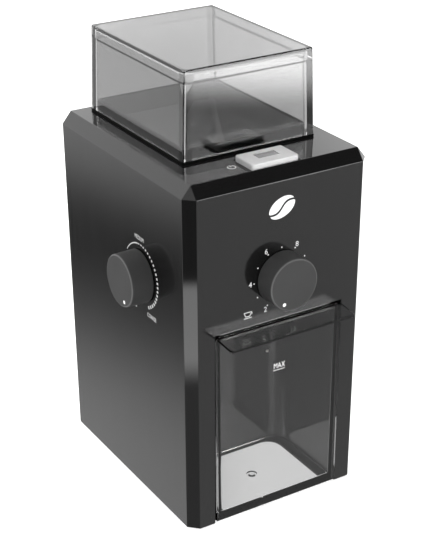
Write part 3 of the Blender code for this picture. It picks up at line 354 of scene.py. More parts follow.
SLOT_MATERIALS = {
    "housing_black": HOUSING, "satin_black": SATIN_BLACK, "hopper_black": HOPPER_PAINTED_LIGHT,
    "knob_grey": KNOB_SIDE, "smoked_clear": LID_CLEAR, "silver_plastic": SILVER, "dark_window": WINDOW,
    "rubber": RUBBER, "steel": STEEL, "burr_steel": BURR_STEEL, "lamination_steel": LAMINATIONS,
    "brass": BRASS, "nylon": NYLON, "carbon": CARBON, "circuit_board": BOARD,
    "switch_black": SWITCH_BLACK,
}


# ---- forms

def as_mesh(name, bm):
    """A form as a mesh. The form is used up."""
    mesh = bpy.data.meshes.new(name)
    bm.to_mesh(mesh)
    bm.free()
    return mesh


def add_object(name, data):
    obj = bpy.data.objects.new(name, data)
    scene.collection.objects.link(obj)
    return obj


def evaluated_form(obj):
    """An object's mesh as a form, after its modifiers."""
    bpy.context.view_layer.update()
    evaluated = obj.evaluated_get(bpy.context.evaluated_depsgraph_get())
    bm = bmesh.new()
    bm.from_mesh(evaluated.to_mesh())
    evaluated.to_mesh_clear()
    return bm


def box_form(low, high):
    bm = bmesh.new()
    bmesh.ops.create_cube(bm, size=1)
    low, high = Vector(low), Vector(high)
    bmesh.ops.scale(bm, vec=high - low, verts=bm.verts)
    bmesh.ops.translate(bm, vec=(low + high) / 2, verts=bm.verts)
    return bm


def bevel(bm, chosen, width, segments=1):
    edges = [edge for edge in bm.edges if chosen(edge.verts[0].co, edge.verts[1].co)]
    bmesh.ops.bevel(bm, geom=edges, offset=width, segments=segments, profile=0.5, affect="EDGES")
    return bm


def upright(a, b):
    """Whether the edge from a to b stands up, or nearly so, as on a drafted wall."""
    return (a.xy - b.xy).length < mm(3) and abs(a.z - b.z) > mm(3)


def plumb(a, b):
    return (a.xy - b.xy).length < mm(0.1)


def at_top(height):
    """A test for the edges that lie at this height, where the form ends."""
    return lambda a, b: min(a.z, b.z) > height - mm(0.1)


def stand(start, axis):
    """The matrix that sets a form which stands on the origin on a start point, along an axis."""
    turn = Vector((0, 0, 1)).rotation_difference(Vector(axis)).to_matrix().to_4x4()
    return Matrix.Translation(start) @ turn


def rod_form(radius, start, length, axis=(0, 0, 1)):
    bm = bmesh.new()
    bmesh.ops.create_cone(bm, cap_ends=True, segments=48, radius1=radius, radius2=radius, depth=length)
    bm.transform(stand(start, axis) @ Matrix.Translation((0, 0, length / 2)))
    return bm


def turned_form(profile, start=(0, 0, 0), axis=(0, 0, 1), sides=96):
    """A solid of revolution from (radius, height) points. It closes on the axis, or back to its start."""
    bm = bmesh.new()
    rings = []
    for radius, height in profile:
        if radius == 0:
            rings.append([bm.verts.new((0, 0, height))])
            continue
        turns = [2 * math.pi * index / sides for index in range(sides)]
        rings.append([bm.verts.new((radius * math.cos(t), radius * math.sin(t), height)) for t in turns])
    pairs = list(zip(rings, rings[1:]))
    if profile[0][0] > 0:
        pairs.append((rings[-1], rings[0]))
    for first, second in pairs:
        for index in range(sides):
            following = (index + 1) % sides
            corners = [first[index % len(first)], second[index % len(second)],
                       second[following % len(second)], first[following % len(first)]]
            bm.faces.new(list(dict.fromkeys(corners)))
    bm.transform(stand(start, axis))
    return bm


def polar(radius, degrees, centre=(0, 0)):
    turn = math.radians(degrees)
    return centre[0] + radius * math.cos(turn), centre[1] + radius * math.sin(turn)


def arc(centre, radius, start, end, steps):
    """Points along an arc, from one angle in degrees to another."""
    return [polar(radius, start + (end - start) * index / steps, centre) for index in range(steps + 1)]


def rounded_loop(half, front, back, corner, height, front_corner=None):
    """A rectangle with rounded corners, as points at one height. Its front corners can be sharper."""
    front_corner = front_corner or corner
    centres = (
        (half - corner, back - corner, corner, 0),
        (corner - half, back - corner, corner, 90),
        (front_corner - half, front + front_corner, front_corner, 180),
        (half - front_corner, front + front_corner, front_corner, 270),
    )
    points = []
    for x, y, radius, start in centres:
        points += arc((x, y), radius, start, start + 90, 8)
    return [Vector((x, y, height)) for x, y in points]


def loft(loops):
    """A closed solid through loops that have the same number of points."""
    bm = bmesh.new()
    rings = [[bm.verts.new(point) for point in loop] for loop in loops]
    for first, second in zip(rings, rings[1:]):
        for index in range(len(first)):
            following = (index + 1) % len(first)
            bm.faces.new((first[index], first[following], second[following], second[index]))
    bm.faces.new(rings[0])
    bm.faces.new(rings[-1])
    bmesh.ops.recalc_face_normals(bm, faces=bm.faces)
    return bm


def carve(bm, cutters=(), additions=()):
    """The solid with the additions joined on and then the cutters taken out of it."""
    helpers = []
    for form in (bm, *additions, *cutters):
        bmesh.ops.recalc_face_normals(form, faces=form.faces)
        helpers.append(add_object("helper", as_mesh("helper", form)))
    solid = helpers[0]
    for index, helper in enumerate(helpers[1:]):
        boolean = solid.modifiers.new("boolean", "BOOLEAN")
        boolean.operation = "UNION" if index < len(additions) else "DIFFERENCE"
        boolean.solver = "EXACT"
        boolean.object = helper
    carved = evaluated_form(solid)
    for helper in helpers:
        mesh = helper.data
        bpy.data.objects.remove(helper)
        bpy.data.meshes.remove(mesh)
    bmesh.ops.remove_doubles(carved, verts=carved.verts, dist=mm(0.001))
    bmesh.ops.dissolve_limit(carved, angle_limit=math.radians(0.1), verts=carved.verts, edges=carved.edges)
    bmesh.ops.connect_verts_concave(carved, faces=carved.faces)
    return carved


# ---- pieces

SHARP = math.radians(28)


def round_edges(obj, width, segments=2):
    rounding = obj.modifiers.new("rounded_edges", "BEVEL")
    rounding.width = width
    rounding.segments = segments
    rounding.limit_method = "ANGLE"
    rounding.angle_limit = SHARP
    return rounding


def piece(name, bm, material, body, stands_for=(), edge=0.0, segments=2):
    """Makes a form a shown piece that rides on a body, with its sharp edges rounded to this radius."""
    bmesh.ops.recalc_face_normals(bm, faces=bm.faces)
    mesh = as_mesh(name, bm)
    mesh.materials.append(material)
    mesh.shade_smooth()
    obj = add_object(name, mesh)
    obj.location = ORIGIN
    if edge:
        round_edges(obj, edge, segments).harden_normals = True
    else:
        mesh.set_sharp_from_angle(angle=SHARP)
    obj.modifiers.new("weighted_normals", "WEIGHTED_NORMAL").keep_sharp = True
    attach(obj, body)
    if stands_for:
        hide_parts(*stands_for)
    return obj


def housing_form(inset, bottom):
    """The housing's outer form, or its inside when inset by the wall. The top edges on the left, right
    and front, and the two front uprights, carry one flat chamfer that drops further than it runs."""
    drop_ratio = CHAMFER_DROP / CHAMFER
    top = HOUSING_TOP - inset
    width, depth = HALF_WIDTH - inset, HALF_DEPTH - inset
    bm = box_form((-width, -depth, bottom / drop_ratio), (width, depth, top / drop_ratio))

    def chamfers(a, b):
        across_top = min(a.z, b.z) > top / drop_ratio - mm(1)
        at_back = min(a.y, b.y) > depth - mm(1)
        front_upright = max(a.y, b.y) < mm(1) - depth and abs(a.x - b.x) < mm(1)
        return (across_top and not at_back) or front_upright

    thinner_inside = 0.4
    bevel(bm, chamfers, CHAMFER - inset * thinner_inside)
    for vert in bm.verts:
        vert.co.z *= drop_ratio
        draft = drawn_in(vert.co.z)
        vert.co.x *= 1 - draft / HALF_WIDTH
        vert.co.y *= 1 - draft / HALF_DEPTH
    return bm


def opening(node, play, bottom, top):
    """A cutter that clears a node all round by this play, from one height to another."""
    low, high = span(node)
    return box_form((low.x - play, low.y - play, bottom), (high.x + play, high.y + play, top))


def make_housing():
    """The shell, open below, with its openings for the drawer, hopper, button, pin, shafts and cord."""
    bay, bay_wall = span("container_bay"), mm(1.8)
    hopper_x, hopper_front, hopper_back = mm(39), mm(-36.8), mm(62.5)
    quantity_hole, coarseness_hole, cord_hole, notch = mm(3.6), mm(3.1), mm(5), mm(1.8)
    cord, pin = middle_of("cord_gland"), middle_of("lid_switch_pin")
    cutters = [
        housing_form(HOUSING_WALL, -OVER),
        box_form((bay[0].x + bay_wall, -HALF_DEPTH - OVER, -OVER),
                 (bay[1].x - bay_wall, -HALF_DEPTH + OVER, bay[1].z - bay_wall)),
        box_form((-hopper_x, hopper_front, HOUSING_TOP - OVER), (hopper_x, hopper_back, HOUSING_TOP + OVER)),
        box_form((pin.x - 2 * notch, pin.y - notch, HOUSING_TOP - OVER),
                 (pin.x + notch, pin.y + notch, HOUSING_TOP + OVER)),
        opening("on_off_button", mm(0.4), HOUSING_TOP - OVER, HOUSING_TOP + OVER),
        rod_form(quantity_hole, (0, -HALF_DEPTH - OVER, QUANTITY_HEIGHT), 2 * OVER, (0, 1, 0)),
        rod_form(coarseness_hole, (-HALF_WIDTH - OVER, COARSENESS_Y, COARSENESS_HEIGHT), 2 * OVER, (1, 0, 0)),
        rod_form(cord_hole, (cord.x, HALF_DEPTH - OVER, cord.z), 2 * OVER, (0, 1, 0)),
    ]
    shell = carve(housing_form(0, HOUSING_BOTTOM), cutters)
    piece("housing_shell", shell, HOUSING, "body", ("housing",), edge=mm(0.35))


def make_gland():
    """The cord's outlet: a ribbed rubber collar in the back wall."""
    middle, outer_end = middle_of("cord_gland"), span("cord_gland")[1].y
    collar = [(3.4, 0), (3.9, 0), (5.4, 0), (6.2, -0.3), (7.2, -0.8), (7.5, -1.3), (7.5, -2.3), (7.2, -2.6),
              (4.7, -2.8), (4.6, -3.2)]
    ribs, first_rib, pitch = 3, -3.6, 1.8
    for rib in range(ribs):
        start = first_rib - rib * pitch
        collar += [(4.6, start), (4.3, start - 0.3), (4.3, start - 0.9), (4.6, start - 1.2)]
    collar += [(4.5, -9), (3.4, -9)]
    profile = [(mm(radius), mm(height)) for radius, height in collar]
    gland = turned_form(profile, (middle.x, outer_end, middle.z), (0, 1, 0), 64)
    piece("cord_gland_collar", gland, RUBBER, "body", ("cord_gland",))


def make_bay():
    """The liner that the drawer slides in, with its rounded rear corners."""
    low, high = span("container_bay")
    wall, corner, front_corner = mm(1.8), mm(13), mm(0.4)
    outside = [rounded_loop(high.x, low.y, high.y, corner + wall, z, front_corner) for z in (low.z, high.z)]
    inside = [rounded_loop(high.x - wall, low.y - OVER, high.y - wall, corner, z, front_corner)
              for z in (low.z - OVER, high.z - wall)]
    pin = middle_of("container_switch_pin")
    cutters = [
        loft(inside),
        opening("chute", mm(0.3), high.z - OVER, high.z + OVER),
        rod_form(PIN_HOLE, (pin.x, high.y - OVER, pin.z), 2 * OVER, (0, 1, 0)),
    ]
    bay = carve(loft(outside), cutters)
    piece("drawer_bay", bay, SATIN_BLACK, "body", ("container_bay",), edge=mm(0.3))


def drawer_loop(inset, height, top, shrink=0.0):
    """The drawer's outline at a height, a little narrower at its foot. A shrink keeps its corners."""
    half, front, back, corner, front_corner, narrowing = mm(39.8), mm(-70), mm(-13), mm(11), mm(0.6), mm(0.6)
    end = inset + shrink
    side = end + narrowing * (1 - height / top)
    return rounded_loop(half - side, front + end, back - side, corner - inset, height, front_corner)


def make_drawer():
    """The clear container: an open box with a wide front plate, a thick floor and a small gate mark."""
    low, high = span("ground_coffee_container")
    wall, floor_thickness, plate_thickness = mm(1.8), mm(4.4), mm(2)
    top, floor_top = high.z, low.z + floor_thickness
    body = loft([drawer_loop(0, z, top) for z in (low.z, top)])
    plate = box_form((low.x, low.y, low.z), (high.x, low.y + plate_thickness, top))
    fillet, steps = mm(0.8), 4
    cavity_loops = []
    for index in range(steps + 1):
        turn = math.pi / 2 * index / steps
        shrink, rise = fillet * (1 - math.sin(turn)), fillet * (1 - math.cos(turn))
        cavity_loops.append(drawer_loop(wall, floor_top + rise, top, shrink))
    cavity_loops.append(drawer_loop(wall, top + OVER, top))
    gate = Vector((mm(-1.5), mm(-45), floor_top - mm(0.5)))
    gate_mark = turned_form([(0, mm(0.45)), (mm(1.4), mm(0.4)), (mm(2.2), mm(-0.3)), (mm(3), mm(-0.3)),
                             (mm(3.5), mm(2)), (0, mm(2))], gate, sides=48)
    drawer = carve(body, [loft(cavity_loops), gate_mark], [plate])
    piece("drawer_clear_body", drawer, DRAWER_CLEAR, "container", ("ground_coffee_container",),
          edge=mm(0.4), segments=3)


def make_drawer_cover():
    """The drawer's clear cover, with its skirt, its inlet and the lip that is its handle."""
    low, high = span("container_cover")
    skirt_depth, slab_thickness = mm(3), mm(1.8)
    slab_bottom = low.z + skirt_depth
    half, plate_front, back, corner = mm(40.9), -HALF_DEPTH, mm(-13), mm(11)
    slab = loft([rounded_loop(half, plate_front, back, corner, z, mm(0.5))
                 for z in (slab_bottom, slab_bottom + slab_thickness)])
    lip_half, lip_root, step, dip, lip_corner = mm(40.4), plate_front + mm(2), mm(0.1), mm(1.2), mm(0.7)
    lip_out = lip_root - low.y
    lip = box_form((-lip_half, low.y, slab_bottom + step),
                   (lip_half, lip_root, slab_bottom + slab_thickness - step))
    bevel(lip, lambda a, b: plumb(a, b) and a.y < plate_front, lip_corner, 6)
    for vert in lip.verts:
        vert.co.z -= dip * (lip_root - vert.co.y) / lip_out
    inset, skirt_wall = mm(2.2), mm(1.6)
    container_top = span("ground_coffee_container")[1].z
    skirt = carve(
        loft([drawer_loop(inset, z, container_top) for z in (low.z, slab_bottom + mm(0.5))]),
        [loft([drawer_loop(inset + skirt_wall, z, container_top) for z in (low.z - OVER, high.z + OVER)])],
    )
    inlet = loft([rounded_loop(mm(14), mm(-63), mm(-42), mm(3), z) for z in (low.z - OVER, high.z + OVER)])
    cover = carve(slab, [inlet], [lip, skirt])
    piece("drawer_clear_cover", cover, DRAWER_CLEAR, "container", ("container_cover",),
          edge=mm(0.35), segments=3)


def hopper_levels(inset, top, bottom):
    """The funnel's loops from its top down to the neck's end."""
    half, front, back, corner = TRAY
    neck_half, neck_corner, shoulder, neck_top, steps = mm(13), mm(6), mm(204), mm(166), 10
    neck_front, neck_back = COARSENESS_Y - neck_half, COARSENESS_Y + neck_half
    loops = [rounded_loop(half - inset, front + inset, back - inset, corner - inset, top)]
    for index in range(steps + 1):
        share = index / steps
        eased = (share + share * share * (3 - 2 * share)) / 2
        loops.append(rounded_loop(
            half + (neck_half - half) * eased - inset,
            front + (neck_front - front) * eased + inset,
            back + (neck_back - back) * eased - inset,
            corner + (neck_corner - corner) * eased - inset,
            shoulder + (neck_top - shoulder) * share,
        ))
    loops.append(rounded_loop(neck_half - inset, neck_front + inset, neck_back - inset,
                              neck_corner - inset, bottom))
    return loops


def make_hopper():
    """The bean tray: a thin flange on the housing, a rim inside the lid, and the funnel below."""
    low, high = span("bean_hopper")
    flange_bottom, flange_thickness, wall, rim_out = HOUSING_TOP + mm(0.3), mm(1), mm(1.7), mm(0.7)
    flange_top, trim, flange_corner = flange_bottom + flange_thickness, mm(1), mm(1)
    flange = loft([rounded_loop(high.x - trim, low.y + trim, high.y - trim, flange_corner, z)
                   for z in (flange_bottom, flange_top)])
    half, front, back, corner = TRAY
    rim = loft([rounded_loop(half + rim_out, front - rim_out, back + rim_out, corner, z)
                for z in (flange_bottom + mm(0.2), high.z)])
    funnel = loft(hopper_levels(0, flange_top - mm(0.1), low.z))
    pin = middle_of("lid_switch_pin")
    cutters = [
        loft(hopper_levels(wall, high.z + OVER, low.z - OVER)),
        rod_form(PIN_HOLE, (pin.x, pin.y, HOUSING_TOP - OVER), 2 * OVER),
    ]
    hopper = carve(flange, cutters, [rim, funnel])
    tray = piece("hopper_tray", hopper, HOPPER_PAINTED_LIGHT, "body", ("bean_hopper",), edge=mm(0.3))
    # The flange and the rim above the housing keep their black. The funnel inside keeps the lighter grey of
    # the painted light.
    tray.data.materials.append(RIM_BLACK)
    mouth_half, mouth_front, mouth_back = mm(37.2), mm(-35), mm(60.7)
    for face in tray.data.polygons:
        x, y, z = face.center
        if z > HOUSING_TOP and not (abs(x) < mouth_half and mouth_front < y < mouth_back):
            face.material_index = 1


def lid_form():
    """The lid's drafted box, widest at the foot. Its front and back draw in less than its sides."""
    low, high = span("hopper_lid")
    corner, top_edge = mm(0.9), mm(0.8)
    bm = box_form(low, high)
    for vert in bm.verts:
        share = (vert.co.z - low.z) / (high.z - low.z)
        vert.co.x -= math.copysign(LID_SIDE_TAPER, vert.co.x) * share
        vert.co.y -= math.copysign(LID_END_TAPER, vert.co.y) * share
    bevel(bm, upright, corner, 8)
    return bevel(bm, at_top(high.z), top_edge, 4)


def lid_loop(inset, height, corner):
    """The outline of the lid's inside at a height, with the same draft as its outside."""
    low, high = span("hopper_lid")
    share = (height - low.z) / (high.z - low.z)
    side, end = inset + LID_SIDE_TAPER * share, inset + LID_END_TAPER * share
    return rounded_loop((high.x - low.x) / 2 - side, low.y + end, high.y - end, corner, height)


def make_lid():
    """A deep clear cap, sharp outside and round in its inner corners, with a small ledge near its top."""
    low, high = span("hopper_lid")
    wall, top_wall, ledge_depth, ledge, slope = mm(2.2), mm(2.3), mm(7.6), mm(0.7), mm(0.6)
    inner_corner, fillet, steps = mm(4.5), mm(1), 4
    ledge_height, ceiling = high.z - ledge_depth, high.z - top_wall
    upper_wall, upper_corner = wall - ledge, inner_corner + ledge
    cavity = [
        lid_loop(wall, low.z - OVER, inner_corner),
        lid_loop(wall, ledge_height - slope, inner_corner),
        lid_loop(upper_wall, ledge_height + slope, upper_corner),
    ]
    for index in range(steps + 1):
        turn = math.pi / 2 * index / steps
        shrink, rise = fillet * (1 - math.cos(turn)), fillet * math.sin(turn)
        cavity.append(lid_loop(upper_wall + shrink, ceiling - fillet + rise, upper_corner - shrink))
    lid = carve(lid_form(), [loft(cavity)])
    piece("lid_clear_cap", lid, LID_CLEAR, "lid", ("hopper_lid",), edge=mm(0.15))


def make_button():
    """The silver on/off button with its stem, and the dark window let into its top."""
    low, high = span("on_off_button")
    window_low, window_high = span("button_window")
    middle, play, thickness, stem_radius = middle_of("on_off_button"), mm(0.3), mm(7), mm(3)
    corner, top_edge, into_cap = mm(1.4), mm(0.9), mm(1)
    cap = box_form((low.x, low.y, high.z - thickness), high)
    bevel(cap, plumb, corner, 6)
    bevel(cap, at_top(high.z), top_edge, 4)
    pocket = opening("button_window", play, window_low.z - play, high.z + OVER)
    stem = rod_form(stem_radius, (middle.x, middle.y, low.z), high.z - thickness + into_cap - low.z)
    button = carve(cap, [pocket], [stem])
    piece("button_cap", button, SILVER, "button", ("on_off_button",), edge=mm(0.25))
    lens = box_form(window_low, window_high - mm(0, 0, 0.25))
    piece("button_lens", lens, WINDOW, "button", ("button_window",), edge=mm(0.2))


def make_button_spring():
    """The coil under the button, as a wound wire in place of the CAD solid."""
    low, high = span("button_spring")
    middle, wire, turns, per_turn, sides = middle_of("button_spring"), mm(0.4), 5, 24, 10
    radius, bottom, top = (high.x - low.x) / 2 - wire, low.z + wire, high.z - wire
    section = arc((0, 0), wire, 0, 360 - 360 / sides, sides - 1)
    loops = []
    for index in range(turns * per_turn + 1):
        turn = 2 * math.pi * index / per_turn
        out = Vector((math.cos(turn), math.sin(turn), 0))
        centre = Vector((middle.x, middle.y, bottom + (top - bottom) * index / (turns * per_turn)))
        loops.append([centre + out * (radius + x) + Vector((0, 0, z)) for x, z in section])
    spring = piece("button_coil_spring", loft(loops), STEEL, "body", ("button_spring",))
    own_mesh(spring)


def knob_profile(height):
    """Half the knob's section, from the middle of its face round its rim to its bore."""
    foot_radius, bore, bore_depth, rim = KNOB_RADIUS + mm(0.3), mm(3.3), mm(9), mm(1.1)
    profile = [(0, height)]
    profile += arc((KNOB_RADIUS - rim, height - rim), rim, 90, 0, 6)
    profile += [(foot_radius, mm(0.4)), (foot_radius - mm(0.3), 0), (bore, 0), (bore, bore_depth),
                (0, bore_depth)]
    return profile


def make_knob(name, node, body, axis, dot_degrees):
    """A round knob whose soft rim carries a painted highlight, a lighter grey than its side, and its white
    pointer dot.
    """
    low, high = span(node)
    axis = Vector(axis)
    height = (high - low).dot(Vector(map(abs, axis)))
    foot = middle_of(node) - axis * height / 2
    form = turned_form(knob_profile(height), foot, axis)
    knob = piece(name, form, KNOB_SIDE, body, (node,))
    knob.data.materials.append(KNOB_CAP)
    knob.data.materials.append(KNOB_RIM_HIGHLIGHT)
    cap_slot, highlight_slot = 1, 2
    # The faces round the rim take the painted highlight: a lighter grey that stands in for the light they
    # catch.
    for face in knob.data.polygons:
        facing = face.normal.dot(axis)
        if (face.center - foot).dot(axis) > height / 2 and facing > 0.5:
            face.material_index = cap_slot if facing > 0.99 else highlight_slot
    dot_radius, dot_from_centre = mm(1.06), mm(12)
    right = Vector((0, 0, 1)).cross(axis).normalized()
    turn = math.radians(dot_degrees)
    spot = foot + axis * height + dot_from_centre * (right * math.cos(turn) + Vector((0, 0, math.sin(turn))))
    profile = [(0, mm(0.12)), (dot_radius * 0.8, mm(0.1)), (dot_radius, mm(0.02)),
               (dot_radius, mm(-0.2)), (0, mm(-0.2))]
    dot = turned_form(profile, spot, axis, 32)
    piece(f"{name}_pointer", dot, WHITE_PRINT, body)


# ---- printed marks

def panel(origin, right, up):
    """The matrix of a flat panel: its x runs right, its y up and its z out of the surface."""
    right, up = Vector(right).normalized(), Vector(up).normalized()
    out = right.cross(up)
    matrix = Matrix((right, up, out)).transposed().to_4x4()
    return Matrix.Translation(Vector(origin) + out * mm(0.01)) @ matrix


FRONT_DIAL = panel((mm(0.3), -HALF_DEPTH + drawn_in(QUANTITY_HEIGHT), QUANTITY_HEIGHT - mm(0.4)),
                   (1, 0, 0), (0, -LEAN, 1))
SIDE_DIAL = panel((-HALF_WIDTH + drawn_in(COARSENESS_HEIGHT), COARSENESS_Y, COARSENESS_HEIGHT),
                  (0, -1, 0), (-LEAN, 0, 1))
TOP_PANEL = panel((0, 0, HOUSING_TOP), (1, 0, 0), (0, 1, 0))
DRAWER_FRONT = panel((0, -HALF_DEPTH, 0), (1, 0, 0), (0, 0, 1))


class Print:
    """Printed shapes on one panel, gathered into one thin piece."""

    def __init__(self, matrix):
        self.matrix = matrix
        self.bm = bmesh.new()

    def shape(self, points):
        """A filled outline, as a thin raised prism."""
        lower = [self.bm.verts.new((x, y, 0)) for x, y in points]
        upper = [self.bm.verts.new((x, y, PRINT_THICKNESS)) for x, y in points]
        self.bm.faces.new(lower[::-1])
        self.bm.faces.new(upper)
        for index in range(len(points)):
            following = (index + 1) % len(points)
            self.bm.faces.new((lower[index], lower[following], upper[following], upper[index]))

    def band(self, inner, outer):
        """A stroke between two edges that run the same way."""
        self.shape(list(inner) + list(outer)[::-1])

    def bar(self, left, right, bottom, top):
        self.shape([(left, bottom), (right, bottom), (right, top), (left, top)])

    def dot(self, x, y, radius):
        self.shape(arc((x, y), radius, 0, 345, 23))

    def arc_band(self, centre, inside, outside, start, end, steps=12):
        self.band(arc(centre, inside, start, end, steps), arc(centre, outside, start, end, steps))

    def text(self, words, x, y, height, width=None):
        """Plain lettering in Blender's own font, its middle at x, y and its capitals this high."""
        curve = bpy.data.curves.new("letters", "FONT")
        curve.body = words
        curve.size = 1
        curve.resolution_u = 3
        helper = add_object("letters", curve)
        flat = evaluated_form(helper)
        bpy.data.objects.remove(helper)
        bpy.data.curves.remove(curve)
        bmesh.ops.remove_doubles(flat, verts=flat.verts, dist=0.0001)
        xs, ys = [v.co.x for v in flat.verts], [v.co.y for v in flat.verts]
        tall = height / (max(ys) - min(ys))
        wide = width / (max(xs) - min(xs)) if width else tall
        centre = Vector(((max(xs) + min(xs)) / 2, (max(ys) + min(ys)) / 2, 0))
        for vert in flat.verts:
            vert.co = Vector(((vert.co.x - centre.x) * wide + x, (vert.co.y - centre.y) * tall + y, 0))
        raised = bmesh.ops.extrude_face_region(flat, geom=flat.faces[:])
        for item in raised["geom"]:
            if isinstance(item, bmesh.types.BMVert):
                item.co.z += PRINT_THICKNESS
        mesh = as_mesh("letters", flat)
        self.bm.from_mesh(mesh)
        bpy.data.meshes.remove(mesh)

    def make(self, name, material, body):
        self.bm.transform(self.matrix)
        return piece(name, self.bm, material, body)


def print_quantity_dial():
    """Cup numbers from 2 to 12 round the front knob, a dot at each whole number, and a cup."""
    marks = Print(FRONT_DIAL)
    dot_circle, number_circle, dot_radius, number_height = mm(17.4), mm(19.8), mm(0.42), mm(3)
    first_cup, last_cup, first_angle, per_cup = 2, 12, 240, 30
    for cups in range(first_cup, last_cup + 1):
        angle = first_angle - per_cup * (cups - first_cup)
        marks.dot(*polar(dot_circle, angle), dot_radius)
        if cups % 2 == 0:
            marks.text(str(cups), *polar(number_circle, angle), number_height)

    middle_x, rim_y, half, foot, deep, line = mm(-21.2), mm(-16.3), mm(2.1), mm(1.2), mm(2), mm(0.2)
    handle_y, saucer_y, saucer, thick = rim_y - mm(0.7), rim_y - deep - mm(1), mm(2.6), 2 * line

    def outline(rim, base, base_y):
        """Down one side, along the base and up the other side."""
        return [(middle_x - rim, rim_y), (middle_x - base, base_y), (middle_x + base, base_y),
                (middle_x + rim, rim_y)]

    marks.band(outline(half, foot, rim_y - deep), outline(half + thick, foot + line, rim_y - deep - thick))
    marks.bar(middle_x - half - thick, middle_x + half + thick, rim_y, rim_y + thick)
    marks.arc_band((middle_x + half, handle_y), mm(0.5), mm(0.8), -70, 90)
    marks.shape([(middle_x - saucer, saucer_y), (middle_x + saucer, saucer_y),
                 (middle_x + saucer - line, saucer_y - thick), (middle_x - saucer + line, saucer_y - thick)])
    marks.make("quantity_dial_print", WHITE_PRINT, "body")


def print_coarseness_dial():
    """A line round the side knob that breaks into thicker and thicker dashes, with two words."""
    marks = Print(SIDE_DIAL)
    circle, first, solid_end, last, steps = mm(18.4), 146, 99, -69, 16
    thin, thick = mm(0.25), mm(0.95)

    def half_thickness(angle):
        return thin + (thick - thin) * (first - angle) / (first - last)

    angles = [first + (solid_end - first) * index / steps for index in range(steps + 1)]
    inner, outer = ([polar(circle + side * half_thickness(angle), angle) for angle in angles]
                    for side in (-1, 1))
    marks.band(inner, outer)
    dashes, gap_before, filled = 21, 0.25, 0.5
    pitch = (solid_end - last) / dashes
    for index in range(dashes):
        start = solid_end - pitch * index - pitch * gap_before
        half = half_thickness(start)
        marks.arc_band((0, 0), circle - half, circle + half, start, start - pitch * filled, 3)
    letter_height, word_width = mm(2.5), mm(9.8)
    marks.text("MEDIUM", mm(-0.8), mm(22.1), letter_height, word_width)
    marks.text("COARSE", mm(10.7), mm(-21.4), letter_height, word_width)
    marks.make("coarseness_dial_print", PALE_PRINT, "body")
    fine = Print(SIDE_DIAL)
    fine.dot(mm(-7), mm(-21.6), mm(0.8))
    fine.make("coarseness_fine_mark", GREY_PRINT, "body")


def print_power_mark():
    """An open ring with a bar in its gap, to the left of the button."""
    marks = Print(TOP_PANEL)
    x, y, half = mm(-21.5), mm(-55.2), mm(0.2)
    marks.arc_band((x, y), mm(2), mm(2.4), 120, 420, 32)
    marks.bar(x - half, x + half, y + mm(0.5), y + mm(2.7))
    marks.make("power_print", WHITE_PRINT, "body")


def print_bean():
    """A plain coffee bean on the front, in the place of a badge: two halves with a wavy crease."""
    height = mm(187.2)
    marks = Print(panel((0, -HALF_DEPTH + drawn_in(height), height), (1, 0, 0), (0, -LEAN, 1)))
    long, short, gap, wave, steps = mm(8.6), mm(5.6), mm(0.65), mm(1.5), 28
    tilt = math.radians(24)

    def tilted(points):
        return [(x * math.cos(tilt) - y * math.sin(tilt), x * math.sin(tilt) + y * math.cos(tilt))
                for x, y in points]

    rounding = 2
    reach = math.degrees(math.asin(gap / short)) + rounding
    for side in (1, -1):
        rim = [(long * x, side * short * y) for x, y in arc((0, 0), 1, reach, 180 - reach, steps)]
        start, end = rim[-1][0], rim[0][0]
        crease = []
        for index in range(1, steps):
            x = start + (end - start) * index / steps
            crease.append((x, side * gap + wave * math.sin(math.pi * x / long)))
        marks.shape(tilted(rim + crease))
    marks.make("bean_print", WHITE_PRINT, "body")


def print_max_mark():
    """MAX over a line, on the drawer's front."""
    marks = Print(DRAWER_FRONT)
    marks.text("MAX", 0, mm(92.4), mm(3.3), mm(7.4))
    marks.bar(mm(-4.2), mm(3.7), mm(89.5), mm(89.8))
    marks.make("max_fill_print", WHITE_PRINT, "container")


# ---- the pieces that keep their CAD mesh

def finish_cad_nodes():
    """Gives each CAD node the material of its slot, and rounds the edges of the plates that can be seen."""
    plates = ("base_plate", "chute", "motor_frame", "gear_deck")
    slots = {part["node"]: part["material_slot"] for part in frame["record"]["subparts"]}
    for name, node in frame["nodes"].items():
        node.data.materials.clear()
        node.data.materials.append(SLOT_MATERIALS[slots[name]])
        if node.hide_render:
            continue
        weld = node.modifiers.new("weld", "WELD")
        weld.merge_threshold = mm(0.001)
        if name in plates:
            round_edges(node, mm(0.2))


# ---- studio

